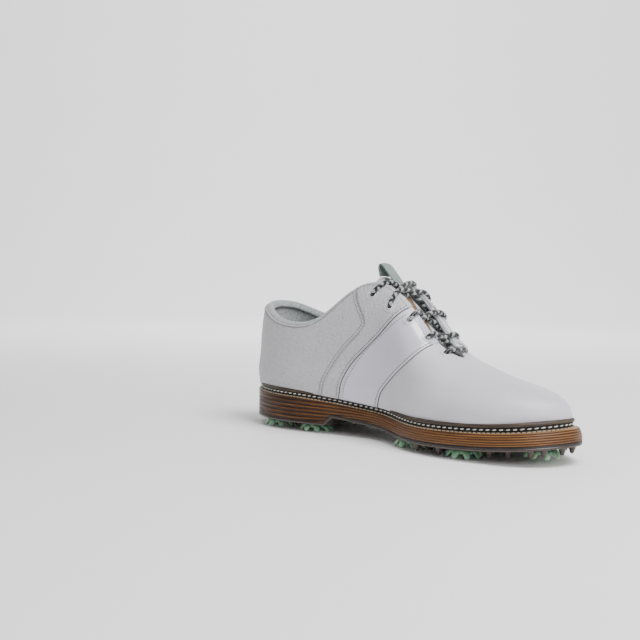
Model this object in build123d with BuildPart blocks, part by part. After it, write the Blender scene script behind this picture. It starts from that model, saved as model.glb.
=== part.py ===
"""Left golf shoe: lasted leather upper, welted stacked sole and nine twist-lock cleats.

Row frame: +X to the toe, +Z up, medial side at -Y, origin on the ground under the middle of
the shoe. Millimetres.
"""
import os
from math import cos, pi, radians, sin

import numpy as np
from build123d import *

os.makedirs("parts", exist_ok=True)

# ---------------------------------------------------------------- driving dimensions
LEATHER = 1.6          # outer leather
BACKING = 1.0          # toe puff and vamp backing
LINING = 1.0           # every lining
COUNTER = 1.8          # heel counter
FOAM_DEPTH = 5.2       # inner face of the quarter foam, below the upper's outer face
TONGUE_DEPTH = 7.8     # outer face of the tongue, below the upper's outer face
TONGUE_SKIN = 1.2
TONGUE_FOAM = 3.0
BOARD = 2.4            # insole board
SOCKLINER = 4.0
WELT = 5.7
MIDSOLE = 8.8
OUTSOLE = 2.9
HEEL_BOTTOM = 8.6      # lowest face of the heel block
TREAD_BOTTOM = 6.6     # lowest face of the outsole under the heel
BREAST_X = -54.0       # foot of the sloping front of the heel
BREAST_RUN, BREAST_RISE = 8.0, 7.6
FILLER_INSET = 13.0    # inner edge of the welt, in from the edge of the sole
THREAD = 0.9
WELT_INSET = [(-151, 1.2), (-60, 1.5), (-10, 1.8), (40, 3.2), (100, 4.4), (151, 5.4)]
GROOVE_TOP, GROOVE_LOW, GROOVE_DEEP = 2.0, 4.9, 1.3    # welt's stitch groove, below the seam
THREAD_MID = 3.4
SHANK_X, SHANK_Y, SHANK_WIDE, SHANK_THICK = (-78, 22), -2.0, 13.0, 1.4
PUFF_X, BACKING_X = 96.0, 44.0                         # toe puff and vamp backing start here
COUNTER_X, COUNTER_TOP = -72.0, 78.0
STRIP_WIDE, STRIP_THICK = 10.0, 0.9
TAB_WIDE, TAB_THICK = 11.0, 1.0
BACKSTAY_WIDE = 15.0
LINING_INSET = 15.0    # lining's edge behind the eyestay, in from the throat
LACE_R = 1.7
LACE_UNDER, LACE_OVER, EDGE_OVER = -3.6, 2.5, 3.2      # lace's middle at the facing
CROSS_LOW, CROSS_HIGH = -4.0, -0.2                      # the two strands where they cross
# shares of the way to the next row up: where a strand leaves its facing, crosses and meets the other facing
LOWER_ROWS, TOP_ROW = (0.72, 0.88, 1.0), (0.1, 0.2, 0.6)
EYELET_R, EYELET_WALL = 2.3, 0.6
CLEAT_R = 13.0
CLEAT_TEETH = 8
CLEAT_TOP = 6.6        # upper face of a cleat on level ground
HUB_R, HUB_LOW = 7.0, 3.2
LEG_SIDE = [(4, 6.2), (9.2, 6.0), (12.9, 1.8), (CLEAT_R, 0), (10.2, 0), (8.4, 3.0), (4, 3.6)]
LEG_WIDE = 3.6
STEM_R, STEM_LONG = 4.6, 4.6
LUG_R, LUG_THICK, LUG_WIDE = 6.2, 1.8, 3.4
SOCKET_R, SOCKET_DEEP = 8.6, 6.0
RUN_GAP = 0.1          # clearance round every turning piece

# plan outline of the sole's widest edge: heel, medial side, toe, lateral side
SOLE_PLAN = [
    (-151, -1.5), (-140, -25.5), (-116, -41.2), (-87, -44.8), (-56, -39.6), (-24, -33), (-2, -31.5),
    (19, -40.5), (46, -52.8), (78, -56), (108, -52.2), (133, -43), (147, -26.5), (151, -7.5),
    (143.5, 9.5), (122, 26.3), (88, 40.2), (54, 50.8), (17, 56), (-20, 47.7), (-60, 41.6), (-100, 41.4),
    (-128, 34.2), (-146, 15.5),
]
# heights of the seam between upper and welt, along the shoe
FEATHER = [
    (-156, 35.2), (-130, 34.2), (-100, 33.4), (-75, 32.6), (-50, 31), (-25, 28.5), (5, 25.5), (30, 24.1),
    (60, 24), (90, 24.9), (120, 27), (156, 31),
]
# upper form: station, medial and lateral edge at the seam, ridge height, ridge side, squareness
LAST = [
    (-147.0, -9.5, 6.5, 76.0, -1.5, 2.6),
    (-143.0, -20.0, 16.5, 104.0, -1.5, 3.0),
    (-132.0, -30.5, 26.0, 130.0, -1.5, 3.0),
    (-112.0, -39.0, 35.5, 138.0, -1.5, 3.0),
    (-85.0, -41.5, 38.0, 141.0, -1.5, 3.0),
    (-55.0, -37.5, 37.0, 140.0, -2.5, 2.8),
    (-25.0, -32.5, 40.5, 133.0, -3.5, 2.6),
    (5.0, -31.5, 46.5, 114.0, -5.5, 2.4),
    (25.0, -39.5, 49.5, 93.0, -7.0, 2.3),
    (42.0, -46.0, 47.5, 76.0, -9.5, 2.3),
    (65.0, -50.0, 42.5, 64.0, -10.5, 2.3),
    (92.0, -49.0, 33.0, 55.5, -10.5, 2.3),
    (115.0, -42.5, 21.0, 50.5, -9.5, 2.3),
    (131.0, -32.5, 9.5, 45.5, -8.5, 2.3),
    (139.5, -23.0, 1.5, 40.5, -9.5, 2.3),
    (142.3, -17.5, -2.0, 37.0, -9.5, 2.3),
    (143.3, -14.0, -5.0, 35.0, -9.5, 2.3),
]
LAST_HALF = 147.0      # half length that a depth shortens the form by
PLAN_SQUARENESS = 2.2
BULGE, BULGE_UP, BULGE_SPREAD = 2.0, 11.0, 9.0
ARCH_STEPS = 14
SKIRT = 6.0            # how far the form runs on below the seam before it is trimmed

# side-view lines: the collar, and the front edges of the quarter, eyestay, strip and saddle
COLLAR = [(-160, 104), (-143, 100), (-118, 90), (-88, 84), (-62, 90), (-38, 110), (-22, 118.5), (-2, 118)]
QUARTER_EDGE = [
    (-31, 125), (-29, 111), (-22, 98), (-17.5, 89), (-21, 81), (-31, 71), (-44, 55), (-52, 39), (-58, 14),
]
EYESTAY_EDGE = [(33, 120), (15, 101), (9, 94), (-11, 74), (-28.5, 57.5), (-36.5, 43.5), (-42, 14)]
STRIP_EDGE = [(42, 118), (18, 98), (6, 87), (-16.5, 68), (-31, 48.5), (-37, 30), (-38.5, 14)]
SADDLE_EDGE = [(46, 92), (41, 76), (32, 64), (11.5, 49), (0, 37.5), (-4, 30), (-5, 14)]
# throat seen from above: x, medial and lateral half width, about the ridge line
THROAT = [(57, 3.6, 4.6), (50, 5.6, 8.2), (20, 10, 14), (-10, 14, 17.5), (-48, 17, 20)]
# tongue: x, half width seen from above, and its back edge seen from the side
TONGUE_SIDE = [(58, 14), (40, 20), (0, 27), (-50, 30)]
TONGUE_BACK = [(-18, 190), (-18.5, 135), (-21, 124), (-26, 113), (-30, 98)]
# eyelets: x, and the distance out from the throat's edge along Y
EYELETS = {-15.0: 6.6, 2.5: 8.2, 20.0: 8.8, 36.0: 7.0, 50.5: 5.6}
EYELET_X = list(EYELETS)

# cleats: name, x, y, lift above level ground
CLEATS = [
    ("toe", 127.5, -13.8, 3.0),
    ("ball_front_medial", 80.3, -38.1, 0),
    ("ball_rear_medial", 28.4, -30.7, 0),
    ("ball_front_lateral", 77.1, 26.3, 0),
    ("ball_rear_lateral", 20.5, 36.4, 0),
    ("heel_front_medial", -72.4, -25.7, 0),
    ("heel_rear_medial", -111.2, -26.8, 0),
    ("heel_front_lateral", -82.9, 26.1, 0),
    ("heel_rear_lateral", -119.8, 20.4, 0),
]
# small pegs round the tread: x, y
PEGS = [
    (48, -49), (67.5, -50), (104, -43), (116, -38.5), (131, -35), (138, -30), (144, -17), (144, -4),
    (130, 12), (118, 13), (3, 27), (-70, 35), (-66, 15), (-92, -12), (51, -37), (63, -33),
]
PEG_LONG, PEG_BASE, PEG_TIP = 4.2, 2.8, 1.2
# triangular tread inserts: x, y
INSERTS = [
    (5, -17), (16, -12), (-3, -4), (10, 3), (7, 18), (21, 10), (29, -4), (38, -13), (47.5, -21), (41, 3),
    (35, 16), (56.5, -9), (57, 6), (53, 20), (43, 31), (74, -13), (78, 4), (92, -14), (97, 0), (97, 14),
    (110, -26), (112, 4), (111, 17), (-131, -11), (-119, 1), (-88, -4), (-96, 15), (-97, 30),
]
INSERT_R, INSERT_DEEP = 4.2, 1.4
# badge in the waist: a long blade and a square boss across it
BLADE = [(-14, -1), (-32, 2.6), (-44.5, 4.4), (-44.5, -1.4), (-36, -2)]
BOSS_AT, BOSS, BOSS_TURN = (-36, 1), 12.0, 10.0


# ---------------------------------------------------------------- shape helpers
def along(table, x, column=1):
    """Smooth value of a table's column at x, with no overshoot between its rows."""
    xs = np.array([row[0] for row in table], float)
    ys = np.array([row[column] for row in table], float)
    step, rise = np.diff(xs), np.diff(ys) / np.diff(xs)
    slope = np.concatenate([rise[:1], np.zeros(len(xs) - 2), rise[-1:]])
    for i in range(1, len(xs) - 1):
        if rise[i - 1] * rise[i] > 0:
            near, far = 2 * step[i] + step[i - 1], step[i] + 2 * step[i - 1]
            slope[i] = (near + far) / (near / rise[i - 1] + far / rise[i])
    i = int(np.clip(np.searchsorted(xs, x) - 1, 0, len(step) - 1))
    s = min(max((x - xs[i]) / step[i], 0.0), 1.0)
    start = (1 + 2 * s) * (1 - s) ** 2 * ys[i] + s * (1 - s) ** 2 * step[i] * slope[i]
    end = s * s * (3 - 2 * s) * ys[i + 1] + s * s * (s - 1) * step[i] * slope[i + 1]
    return float(start + end)


def shrunk(size, depth):
    """A half width or height made smaller by depth, never to nothing."""
    return max(size - depth, size * (1 - depth / 16))


def arch_point(row, turn, depth):
    """Point of the upper's form at a station; turn runs 0 (medial seam) to pi (lateral seam)."""
    x, medial, lateral, ridge, ridge_y, squareness = row
    seam = along(FEATHER, x)
    middle, half = (medial + lateral) / 2, shrunk((lateral - medial) / 2, depth)
    across = -cos(turn)
    up = max(sin(turn), 0.0) ** (2 / squareness)
    height = shrunk(ridge - seam, depth) * up
    side = 1 if across > 0 else -1
    at_seam = np.exp(-(BULGE_UP / BULGE_SPREAD) ** 2)
    belly = BULGE * (np.exp(-((height - BULGE_UP) / BULGE_SPREAD) ** 2) - at_seam)
    y = middle + side * abs(across) ** (2 / PLAN_SQUARENESS) * half
    y += (ridge_y - middle) * up ** 1.5 + side * belly * min(1, 3 * abs(across)) * half / (half + 6)
    return y, seam + height


def station(x):
    """The last's row at any x."""
    return (x, *[along(LAST, x, column) for column in range(1, 6)])


def surface_z(x, y):
    """Height of the upper's outer face above a point near the ridge."""
    row = station(x)
    arch = [arch_point(row, pi * i / 160, 0) for i in range(30, 131)]
    return float(np.interp(y, [p[0] for p in arch], [p[1] for p in arch]))


def form(depth):
    """Closed solid of the foot-shaped form, depth inside the upper's outer face."""
    with BuildPart() as solid:
        for row in LAST:
            place = row[0] * (1 - depth / LAST_HALF)
            low = along(FEATHER, row[0]) - SKIRT
            turns = [pi / 2 * (1 - cos(pi * i / ARCH_STEPS)) for i in range(ARCH_STEPS + 1)]
            points = [arch_point(row, turn, depth) for turn in turns]
            with BuildSketch(Plane.YZ.offset(place)):
                with BuildLine():
                    Spline(*points)
                    Polyline(points[-1], (points[-1][0], low), (points[0][0], low), points[0])
                make_face()
        loft()
    return solid.part


def side_band(upper, lower):
    """Everything between the seam's curve raised by upper and by lower, across the shoe."""
    with BuildPart() as band:
        with BuildSketch(Plane.XZ):
            with BuildLine():
                top = Spline(*[(x, z + upper) for x, z in FEATHER])
                bottom = Spline(*[(x, z + lower) for x, z in FEATHER])
                Line(top @ 0, bottom @ 0)
                Line(top @ 1, bottom @ 1)
            make_face()
        extrude(amount=80, both=True)
    return band.part


def side_region(line, *corners):
    """Prism across the shoe, bounded by a smooth side-view line and straight corners."""
    with BuildPart() as region:
        with BuildSketch(Plane.XZ):
            with BuildLine():
                edge = Spline(*line)
                Polyline(edge @ 1, *corners, edge @ 0)
            make_face()
        extrude(amount=80, both=True)
    return region.part


def plan_points(inset):
    """Plan outline moved in by inset, a number or a table along x."""
    count, points = len(SOLE_PLAN), []
    for i, (x, y) in enumerate(SOLE_PLAN):
        before, after = SOLE_PLAN[i - 1], SOLE_PLAN[(i + 1) % count]
        tangent = Vector(after[0] - before[0], after[1] - before[1]).normalized()
        amount = inset if isinstance(inset, (int, float)) else along(inset, x)
        points.append((x - tangent.Y * amount, y + tangent.X * amount))
    return points


def plan_prism(inset):
    """Upright prism of the sole's plan, moved in by inset."""
    with BuildPart() as prism:
        with BuildSketch():
            with BuildLine():
                Spline(*plan_points(inset), periodic=True)
            make_face()
        extrude(amount=60)
    return prism.part


def save(part, name, colour):
    """Label a finished piece and write it."""
    part.label = name
    part.color = Color(*colour)
    export_step(part, f"parts/{name}.step")
    print(f"{name:24s} {len(part.solids()):3d} solids {part.volume:10.1f} mm3", flush=True)


WHITE, GREY, BROWN, DARK = (0.9, 0.9, 0.92), (0.7, 0.7, 0.72), (0.4, 0.25, 0.15), (0.2, 0.13, 0.1)
TAN, MINT, BLACK, SAGE = (0.75, 0.5, 0.25), (0.6, 0.9, 0.65), (0.1, 0.1, 0.1), (0.6, 0.68, 0.63)

# ---------------------------------------------------------------- cutters shared by the pieces
FORMS = {depth: form(depth) for depth in (
    0, LEATHER, LEATHER + BACKING, LEATHER + BACKING + LINING, LEATHER + COUNTER, FOAM_DEPTH,
    FOAM_DEPTH + LINING, TONGUE_DEPTH, TONGUE_DEPTH + TONGUE_SKIN, TONGUE_DEPTH + TONGUE_SKIN + TONGUE_FOAM,
    TONGUE_DEPTH + 2 * TONGUE_SKIN + TONGUE_FOAM)}
above_seam = side_band(200, 0)
above_board = side_band(200, BOARD)
over_collar = side_region(COLLAR, (-2, 220), (-160, 220))
behind_quarter, behind_eyestay, behind_strip, behind_saddle = [
    side_region(edge, (-200, 14), (-200, 220), (edge[0][0], 220))
    for edge in (QUARTER_EDGE, EYESTAY_EDGE, STRIP_EDGE, SADDLE_EDGE)]


def throat_prism(extra):
    """The gap between the eyestays, widened on each side by extra."""
    with BuildPart() as gap:
        with BuildSketch(Plane.XY.offset(50)):
            with BuildLine():
                sides = [[(row[0], along(LAST, row[0], 4) + s * (row[column] + extra)) for row in THROAT]
                         for s, column in ((-1, 1), (1, 2))]
                one = Spline(*sides[0])
                two = Spline(*sides[1])
                Line(one @ 1, two @ 1)
                RadiusArc(one @ 0, two @ 0, -((THROAT[0][1] + THROAT[0][2]) / 2 + extra) * 1.05)
            make_face()
        extrude(amount=150)
    return gap.part


throat = throat_prism(0)
lining_throat = throat_prism(LINING_INSET)


def half_width(side, x):
    """Half width of the throat at x, on the medial (-1) or lateral (1) side."""
    return float(np.interp(-x, [-row[0] for row in THROAT], [row[1 if side < 0 else 2] for row in THROAT]))


def eyelet_places():
    """(side, x, y) of each eyelet; side is -1 medial, 1 lateral."""
    return [(side, x, along(LAST, x, 4) + side * (half_width(side, x) + out))
            for side in (-1, 1) for x, out in EYELETS.items()]


def face_plane(x, y):
    """Plane on the upper's outer face above (x, y), its normal pointing out."""
    step = 1.5
    slope_x = (surface_z(x + step, y) - surface_z(x - step, y)) / (2 * step)
    slope_y = (surface_z(x, y + step) - surface_z(x, y - step)) / (2 * step)
    return Plane(origin=(x, y, surface_z(x, y)), x_dir=(1, 0, slope_x), z_dir=(-slope_x, -slope_y, 1))


EYELET_PLANES = [(side, face_plane(x, y)) for side, x, y in eyelet_places()]
with BuildPart() as eyelet_holes:
    for side, plane in EYELET_PLANES:
        with BuildSketch(plane.offset(-5)):
            Circle(EYELET_R + EYELET_WALL)
        extrude(amount=9)


# ---------------------------------------------------------------- upper
def shell(outer, inner, *, keep=(), cut=()):
    """The layer between two depths of the form, inside every keep and outside every cut."""
    with BuildPart() as layer:
        add(FORMS[outer])
        add(FORMS[inner], mode=Mode.SUBTRACT)
        for region in keep:
            add(region, mode=Mode.INTERSECT)
        for region in cut:
            add(region, mode=Mode.SUBTRACT)
    return layer.part


def sides(part, names, colour):
    """Write the medial and the lateral solid of a piece made on both sides."""
    for name, solid in zip(names, part.solids().sort_by(Axis.Y)):
        save(solid, name, colour)


with BuildPart() as heel_strip:
    with BuildSketch(Plane.YZ.offset(-160)):
        with Locations((SOLE_PLAN[0][1], 80)):
            Rectangle(BACKSTAY_WIDE, 140)
    extrude(amount=45)

open_top = (over_collar, throat, eyelet_holes.part)
vamp = shell(0, LEATHER, keep=[above_seam], cut=[behind_saddle, throat, eyelet_holes.part])
saddle = shell(0, LEATHER, keep=[above_seam, behind_saddle], cut=[behind_strip, *open_top])
strip = shell(0, LEATHER, keep=[above_seam, behind_strip], cut=[behind_eyestay, *open_top])
eyestay = shell(0, LEATHER, keep=[above_seam, behind_eyestay], cut=[behind_quarter, *open_top])
quarter = shell(0, LEATHER, keep=[above_seam, behind_quarter], cut=[heel_strip.part, *open_top])
backstay = shell(0, LEATHER, keep=[above_seam, heel_strip.part], cut=[over_collar])
save(vamp, "vamp", WHITE)
sides(saddle, ("saddle_medial", "saddle_lateral"), (0.85, 0.85, 0.9))
sides(strip, ("side_strip_medial", "side_strip_lateral"), GREY)
sides(eyestay, ("eyestay_medial", "eyestay_lateral"), WHITE)
sides(quarter, ("quarter_medial", "quarter_lateral"), WHITE)
save(backstay, "backstay", GREY)

# stiffeners, foam and linings, laid in from the leather

def block(x_from, x_to, z_from=0.0, z_to=220.0):
    """Wide box across the shoe between two stations and two heights."""
    with BuildPart() as box:
        with BuildSketch(Plane.XZ):
            Polygon((x_from, z_from), (x_to, z_from), (x_to, z_to), (x_from, z_to), align=None)
        extrude(amount=80, both=True)
    return box.part


toe_zone, vamp_zone = block(PUFF_X, 160), block(BACKING_X, PUFF_X)
rear_zone, counter_zone = block(-160, BACKING_X), block(-160, COUNTER_X, 0, COUNTER_TOP)
front_zone = block(BACKING_X, 160)
inner = LEATHER + BACKING
save(shell(LEATHER, inner, keep=[above_board, toe_zone]), "toe_puff", TAN)
save(shell(LEATHER, inner, keep=[above_board, vamp_zone], cut=[lining_throat]), "vamp_backing", WHITE)
save(shell(inner, inner + LINING, keep=[above_board, front_zone], cut=[lining_throat]), "vamp_lining", WHITE)
counter = shell(LEATHER, LEATHER + COUNTER, keep=[above_board, counter_zone])
save(counter, "heel_counter", TAN)
rear_cuts = [over_collar, lining_throat]
foam = shell(LEATHER, FOAM_DEPTH, keep=[above_board, rear_zone], cut=[counter, *rear_cuts])
save(foam, "quarter_foam", SAGE)
rear_lining = shell(FOAM_DEPTH, FOAM_DEPTH + LINING, keep=[above_board, rear_zone], cut=rear_cuts)
save(rear_lining, "quarter_lining", GREY)

# ---------------------------------------------------------------- tongue
with BuildPart() as tongue_plan:
    with BuildSketch(Plane.XY.offset(40)):
        with BuildLine():
            left, right = [Spline(*[(x, along(LAST, x, 4) + s * w) for x, w in TONGUE_SIDE]) for s in (-1, 1)]
            Line(left @ 0, right @ 0)
            Line(left @ 1, right @ 1)
        make_face()
    extrude(amount=150)
    add(side_region(TONGUE_BACK, (100, 40), (100, 190)), mode=Mode.INTERSECT)
skin, core = TONGUE_DEPTH + TONGUE_SKIN, TONGUE_DEPTH + TONGUE_SKIN + TONGUE_FOAM
save(shell(TONGUE_DEPTH, skin, keep=[tongue_plan.part]), "tongue_outer", GREY)
save(shell(skin, core, keep=[tongue_plan.part]), "tongue_foam", SAGE)
save(shell(core, core + TONGUE_SKIN, keep=[tongue_plan.part]), "tongue_lining", GREY)

with BuildPart() as tongue_strip:
    with BuildSketch(Plane.XY.offset(40)):
        with BuildLine():
            low, high = [Spline(*[(x, along(LAST, x, 4) + s * STRIP_WIDE / 2) for x in (36, 10, -15, -30)])
                         for s in (-1, 1)]
            Line(low @ 0, high @ 0)
            Line(low @ 1, high @ 1)
        make_face()
    extrude(amount=150)
    add(side_region(TONGUE_BACK, (34, 40), (34, 190)), mode=Mode.INTERSECT)
    add(form(TONGUE_DEPTH - STRIP_THICK), mode=Mode.INTERSECT)
    add(FORMS[TONGUE_DEPTH], mode=Mode.SUBTRACT)
save(tongue_strip.part, "tongue_strip", BROWN)

# ribbon loop, seen from the side: up from the tongue's face and back down to its top edge
def tab_point(x, lift):
    """Point above the tongue strip's outer face."""
    return np.array((x, along(LAST, x, 3) - TONGUE_DEPTH + STRIP_THICK + lift))


loop = [tab_point(x, lift) for x, lift in (
    (3, 0.6), (-2, 0.8), (-7, 2.0), (-12, 4.4), (-17, 7.0), (-20.5, 8.6), (-22.6, 8.4), (-23.6, 6.2),
    (-23.0, 2.2), (-22.6, -1.0))]
edges = [[], []]
for before, here, after in zip(loop[:1] + loop, loop, loop[1:] + loop[-1:]):
    run = (after - before) / np.hypot(*(after - before))
    for edge, way in zip(edges, (-1, 1)):
        edge.append(tuple(here + way * TAB_THICK / 2 * np.array((-run[1], run[0]))))
with BuildPart() as pull_tab:
    with BuildSketch(Plane.XZ.offset(-along(LAST, -15, 4))):
        with BuildLine():
            near, far = [Spline(*edge) for edge in edges]
            Line(near @ 0, far @ 0)
            Line(near @ 1, far @ 1)
        make_face()
    extrude(amount=TAB_WIDE / 2, both=True)
    add(tongue_strip.part, mode=Mode.SUBTRACT)
save(pull_tab.part, "pull_tab", SAGE)

# ---------------------------------------------------------------- inside the shoe
with BuildPart() as insole_board:
    add(FORMS[LEATHER])
    add(side_band(BOARD, 0), mode=Mode.INTERSECT)
save(insole_board.part, "insole_board", TAN)

with BuildPart() as sockliner:
    add(FORMS[FOAM_DEPTH + LINING])
    add(side_band(BOARD + SOCKLINER, BOARD), mode=Mode.INTERSECT)
save(sockliner.part, "sockliner", GREY)

# ---------------------------------------------------------------- sole
def inset_more(extra):
    """The welt's inset, moved in further."""
    return [(x, inset + extra) for x, inset in WELT_INSET]


with BuildPart() as shank:
    with BuildSketch():
        with Locations((sum(SHANK_X) / 2, SHANK_Y)):
            Rectangle(SHANK_X[1] - SHANK_X[0], SHANK_WIDE)
    extrude(amount=60)
    add(side_band(0, -SHANK_THICK), mode=Mode.INTERSECT)
save(shank.part, "shank", BLACK)

with BuildPart() as filler:
    add(plan_prism(FILLER_INSET))
    add(side_band(0, -WELT), mode=Mode.INTERSECT)
    add(shank.part, mode=Mode.SUBTRACT)
save(filler.part, "cork_filler", TAN)

with BuildPart() as groove:
    add(plan_prism(0))
    add(plan_prism(inset_more(GROOVE_DEEP)), mode=Mode.SUBTRACT)
    add(side_band(-GROOVE_TOP, -GROOVE_LOW), mode=Mode.INTERSECT)

with BuildPart() as welt:
    add(plan_prism(WELT_INSET))
    add(plan_prism(FILLER_INSET), mode=Mode.SUBTRACT)
    add(side_band(0, -WELT), mode=Mode.INTERSECT)
    add(groove.part, mode=Mode.SUBTRACT)
save(welt.part, "welt", DARK)

with BuildPart() as welt_thread:
    add(plan_prism(inset_more(GROOVE_DEEP - THREAD)))
    add(plan_prism(inset_more(GROOVE_DEEP)), mode=Mode.SUBTRACT)
    add(side_band(-THREAD_MID + THREAD / 2, -THREAD_MID - THREAD / 2), mode=Mode.INTERSECT)
save(welt_thread.part, "welt_thread", WHITE)

under_midsole = -WELT - MIDSOLE
with BuildPart() as heel_side:
    with BuildSketch(Plane.XZ):
        Polygon((-160, HEEL_BOTTOM), (BREAST_X, HEEL_BOTTOM),
                (BREAST_X + BREAST_RUN, HEEL_BOTTOM + BREAST_RISE),
                (BREAST_X + BREAST_RUN + 4, 30), (-160, 30), align=None)
    extrude(amount=80, both=True)
with BuildPart() as tread_side:
    with BuildSketch(Plane.XZ):
        Polygon((-160, TREAD_BOTTOM), (BREAST_X + 1.2, TREAD_BOTTOM),
                (BREAST_X + BREAST_RUN + 1.6, HEEL_BOTTOM + BREAST_RISE - 2),
                (BREAST_X + BREAST_RUN + 6, 30), (-160, 30), align=None)
    extrude(amount=80, both=True)

sole_plan = plan_prism(0)
above_block = side_band(80, under_midsole)
with BuildPart() as socket_holes:
    for name, x, y, lift in CLEATS:
        with BuildSketch(Plane.XY.offset(0)):
            with Locations((x, y)):
                Circle(SOCKET_R)
        extrude(amount=CLEAT_TOP + RUN_GAP + lift + SOCKET_DEEP)

with BuildPart() as midsole:
    add(sole_plan)
    add(side_band(-WELT, under_midsole), mode=Mode.INTERSECT)
    add(socket_holes.part, mode=Mode.SUBTRACT)
save(midsole.part, "midsole", BROWN)

with BuildPart() as heel_block:
    add(sole_plan)
    add(heel_side.part, mode=Mode.INTERSECT)
    add(above_block, mode=Mode.SUBTRACT)
    add(socket_holes.part, mode=Mode.SUBTRACT)
save(heel_block.part, "heel_block", BROWN)

with BuildPart() as inserts:
    for x, y in INSERTS:
        bottom = TREAD_BOTTOM if x < BREAST_X else along(FEATHER, x) + under_midsole - OUTSOLE
        with BuildSketch(Plane.XY.offset(bottom - 0.4)):
            with Locations((x, y)):
                RegularPolygon(INSERT_R, 3, rotation=13 * x)
        extrude(amount=INSERT_DEEP + 0.4)
save(inserts.part, "tread_inserts", TAN)

with BuildPart() as blade:
    with BuildSketch(Plane.XY.offset(0)):
        Polygon(*BLADE, align=None)
        with Locations(BOSS_AT):
            Rectangle(BOSS, BOSS, rotation=BOSS_TURN)
    extrude(amount=60)
    add(side_band(under_midsole - OUTSOLE + 1.2, under_midsole - OUTSOLE - 0.8), mode=Mode.INTERSECT)
save(blade.part, "shank_badge", BLACK)

with BuildPart() as tread_zone:
    add(side_band(under_midsole, under_midsole - OUTSOLE))
    add(block(BREAST_X, 170), mode=Mode.INTERSECT)
    add(tread_side.part)
    add(heel_side.part, mode=Mode.SUBTRACT)
    add(above_block, mode=Mode.SUBTRACT)

with BuildPart() as outsole:
    add(sole_plan)
    add(tread_zone.part, mode=Mode.INTERSECT)
    for x, y in PEGS:
        bottom = TREAD_BOTTOM if x < BREAST_X - 5 else along(FEATHER, x) + under_midsole - OUTSOLE
        long = min(PEG_LONG, bottom - 0.8)
        with Locations((x, y, bottom - long / 2 + 0.3)):
            Cone(PEG_TIP, PEG_BASE, long + 0.6)
    add(socket_holes.part, mode=Mode.SUBTRACT)
    add(inserts.part, mode=Mode.SUBTRACT)
    add(blade.part, mode=Mode.SUBTRACT)
save(outsole.part, "outsole", DARK)

# ---------------------------------------------------------------- cleats and their receptacles
def lugs(radius, wide, z_from, z_to, turn):
    """Three radial bars that lock a cleat, at a height and turned by an angle."""
    with BuildPart() as bars:
        with BuildSketch(Plane.XY.offset(z_from)):
            with PolarLocations(0, 3, start_angle=turn):
                with Locations((radius / 2, 0)):
                    Rectangle(radius, wide)
        extrude(amount=z_to - z_from)
    return bars.part


lug_top = CLEAT_TOP + STEM_LONG
with BuildPart() as cleat_shape:
    with BuildSketch(Plane.XY.offset(HUB_LOW)):
        Circle(HUB_R)
    extrude(amount=CLEAT_TOP - HUB_LOW)
    with BuildSketch(Plane.XY.offset(CLEAT_TOP)):
        Circle(STEM_R)
    extrude(amount=STEM_LONG)
    for i in range(CLEAT_TEETH):
        with BuildSketch(Plane.XZ.rotated((0, 0, 360 * i / CLEAT_TEETH))):
            Polygon(*LEG_SIDE, align=None)
        extrude(amount=LEG_WIDE / 2, both=True)
    add(lugs(LUG_R, LUG_WIDE, lug_top - LUG_THICK, lug_top, 0))
    with BuildSketch(Plane.XY.offset(HUB_LOW)):
        with Locations((-4.4, 0), (4.4, 0)):
            Circle(0.9)
    extrude(amount=2.4, mode=Mode.SUBTRACT)

socket_low, socket_top = CLEAT_TOP + RUN_GAP, CLEAT_TOP + RUN_GAP + SOCKET_DEEP
with BuildPart() as socket_shape:
    with BuildSketch(Plane.XY.offset(socket_low)):
        Circle(SOCKET_R)
        Circle(STEM_R + RUN_GAP, mode=Mode.SUBTRACT)
    extrude(amount=socket_top - socket_low)
    with BuildSketch(Plane.XY.offset(lug_top - LUG_THICK - RUN_GAP)):
        Circle(LUG_R + 0.4)
    extrude(amount=LUG_THICK + 2 * RUN_GAP, mode=Mode.SUBTRACT)
    add(lugs(LUG_R + 0.4, LUG_WIDE + 0.6, socket_low, lug_top, 60), mode=Mode.SUBTRACT)
    with BuildSketch(Plane.XY.offset(lug_top + RUN_GAP)):
        Circle(STEM_R + RUN_GAP + 1)
    extrude(amount=socket_top - lug_top - RUN_GAP)

with BuildPart() as receptacles:
    for name, x, y, lift in CLEATS:
        add(Pos(x, y, lift) * socket_shape.part)
save(receptacles.part, "cleat_receptacles", BLACK)

for name, x, y, lift in CLEATS:
    save(Pos(x, y, lift) * cleat_shape.part, f"cleat_{name}", MINT)

# ---------------------------------------------------------------- eyelets and lace
with BuildPart() as eyelets:
    for side, plane in EYELET_PLANES:
        with BuildSketch(plane.offset(-LEATHER - 0.2)):
            Circle(EYELET_R + EYELET_WALL)
            Circle(EYELET_R, mode=Mode.SUBTRACT)
        extrude(amount=LEATHER + 0.4)
save(eyelets.part, "eyelets", GREY)


def off_face(x, y, out):
    """Point out from the upper's outer face, above (x, y)."""
    plane = face_plane(x, y)
    return plane.origin + plane.z_dir * out


def facing(side, x, beyond, out):
    """Point above a facing, beyond the throat's edge."""
    return off_face(x, along(LAST, x, 4) + side * (half_width(side, x) + beyond), out)


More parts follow.
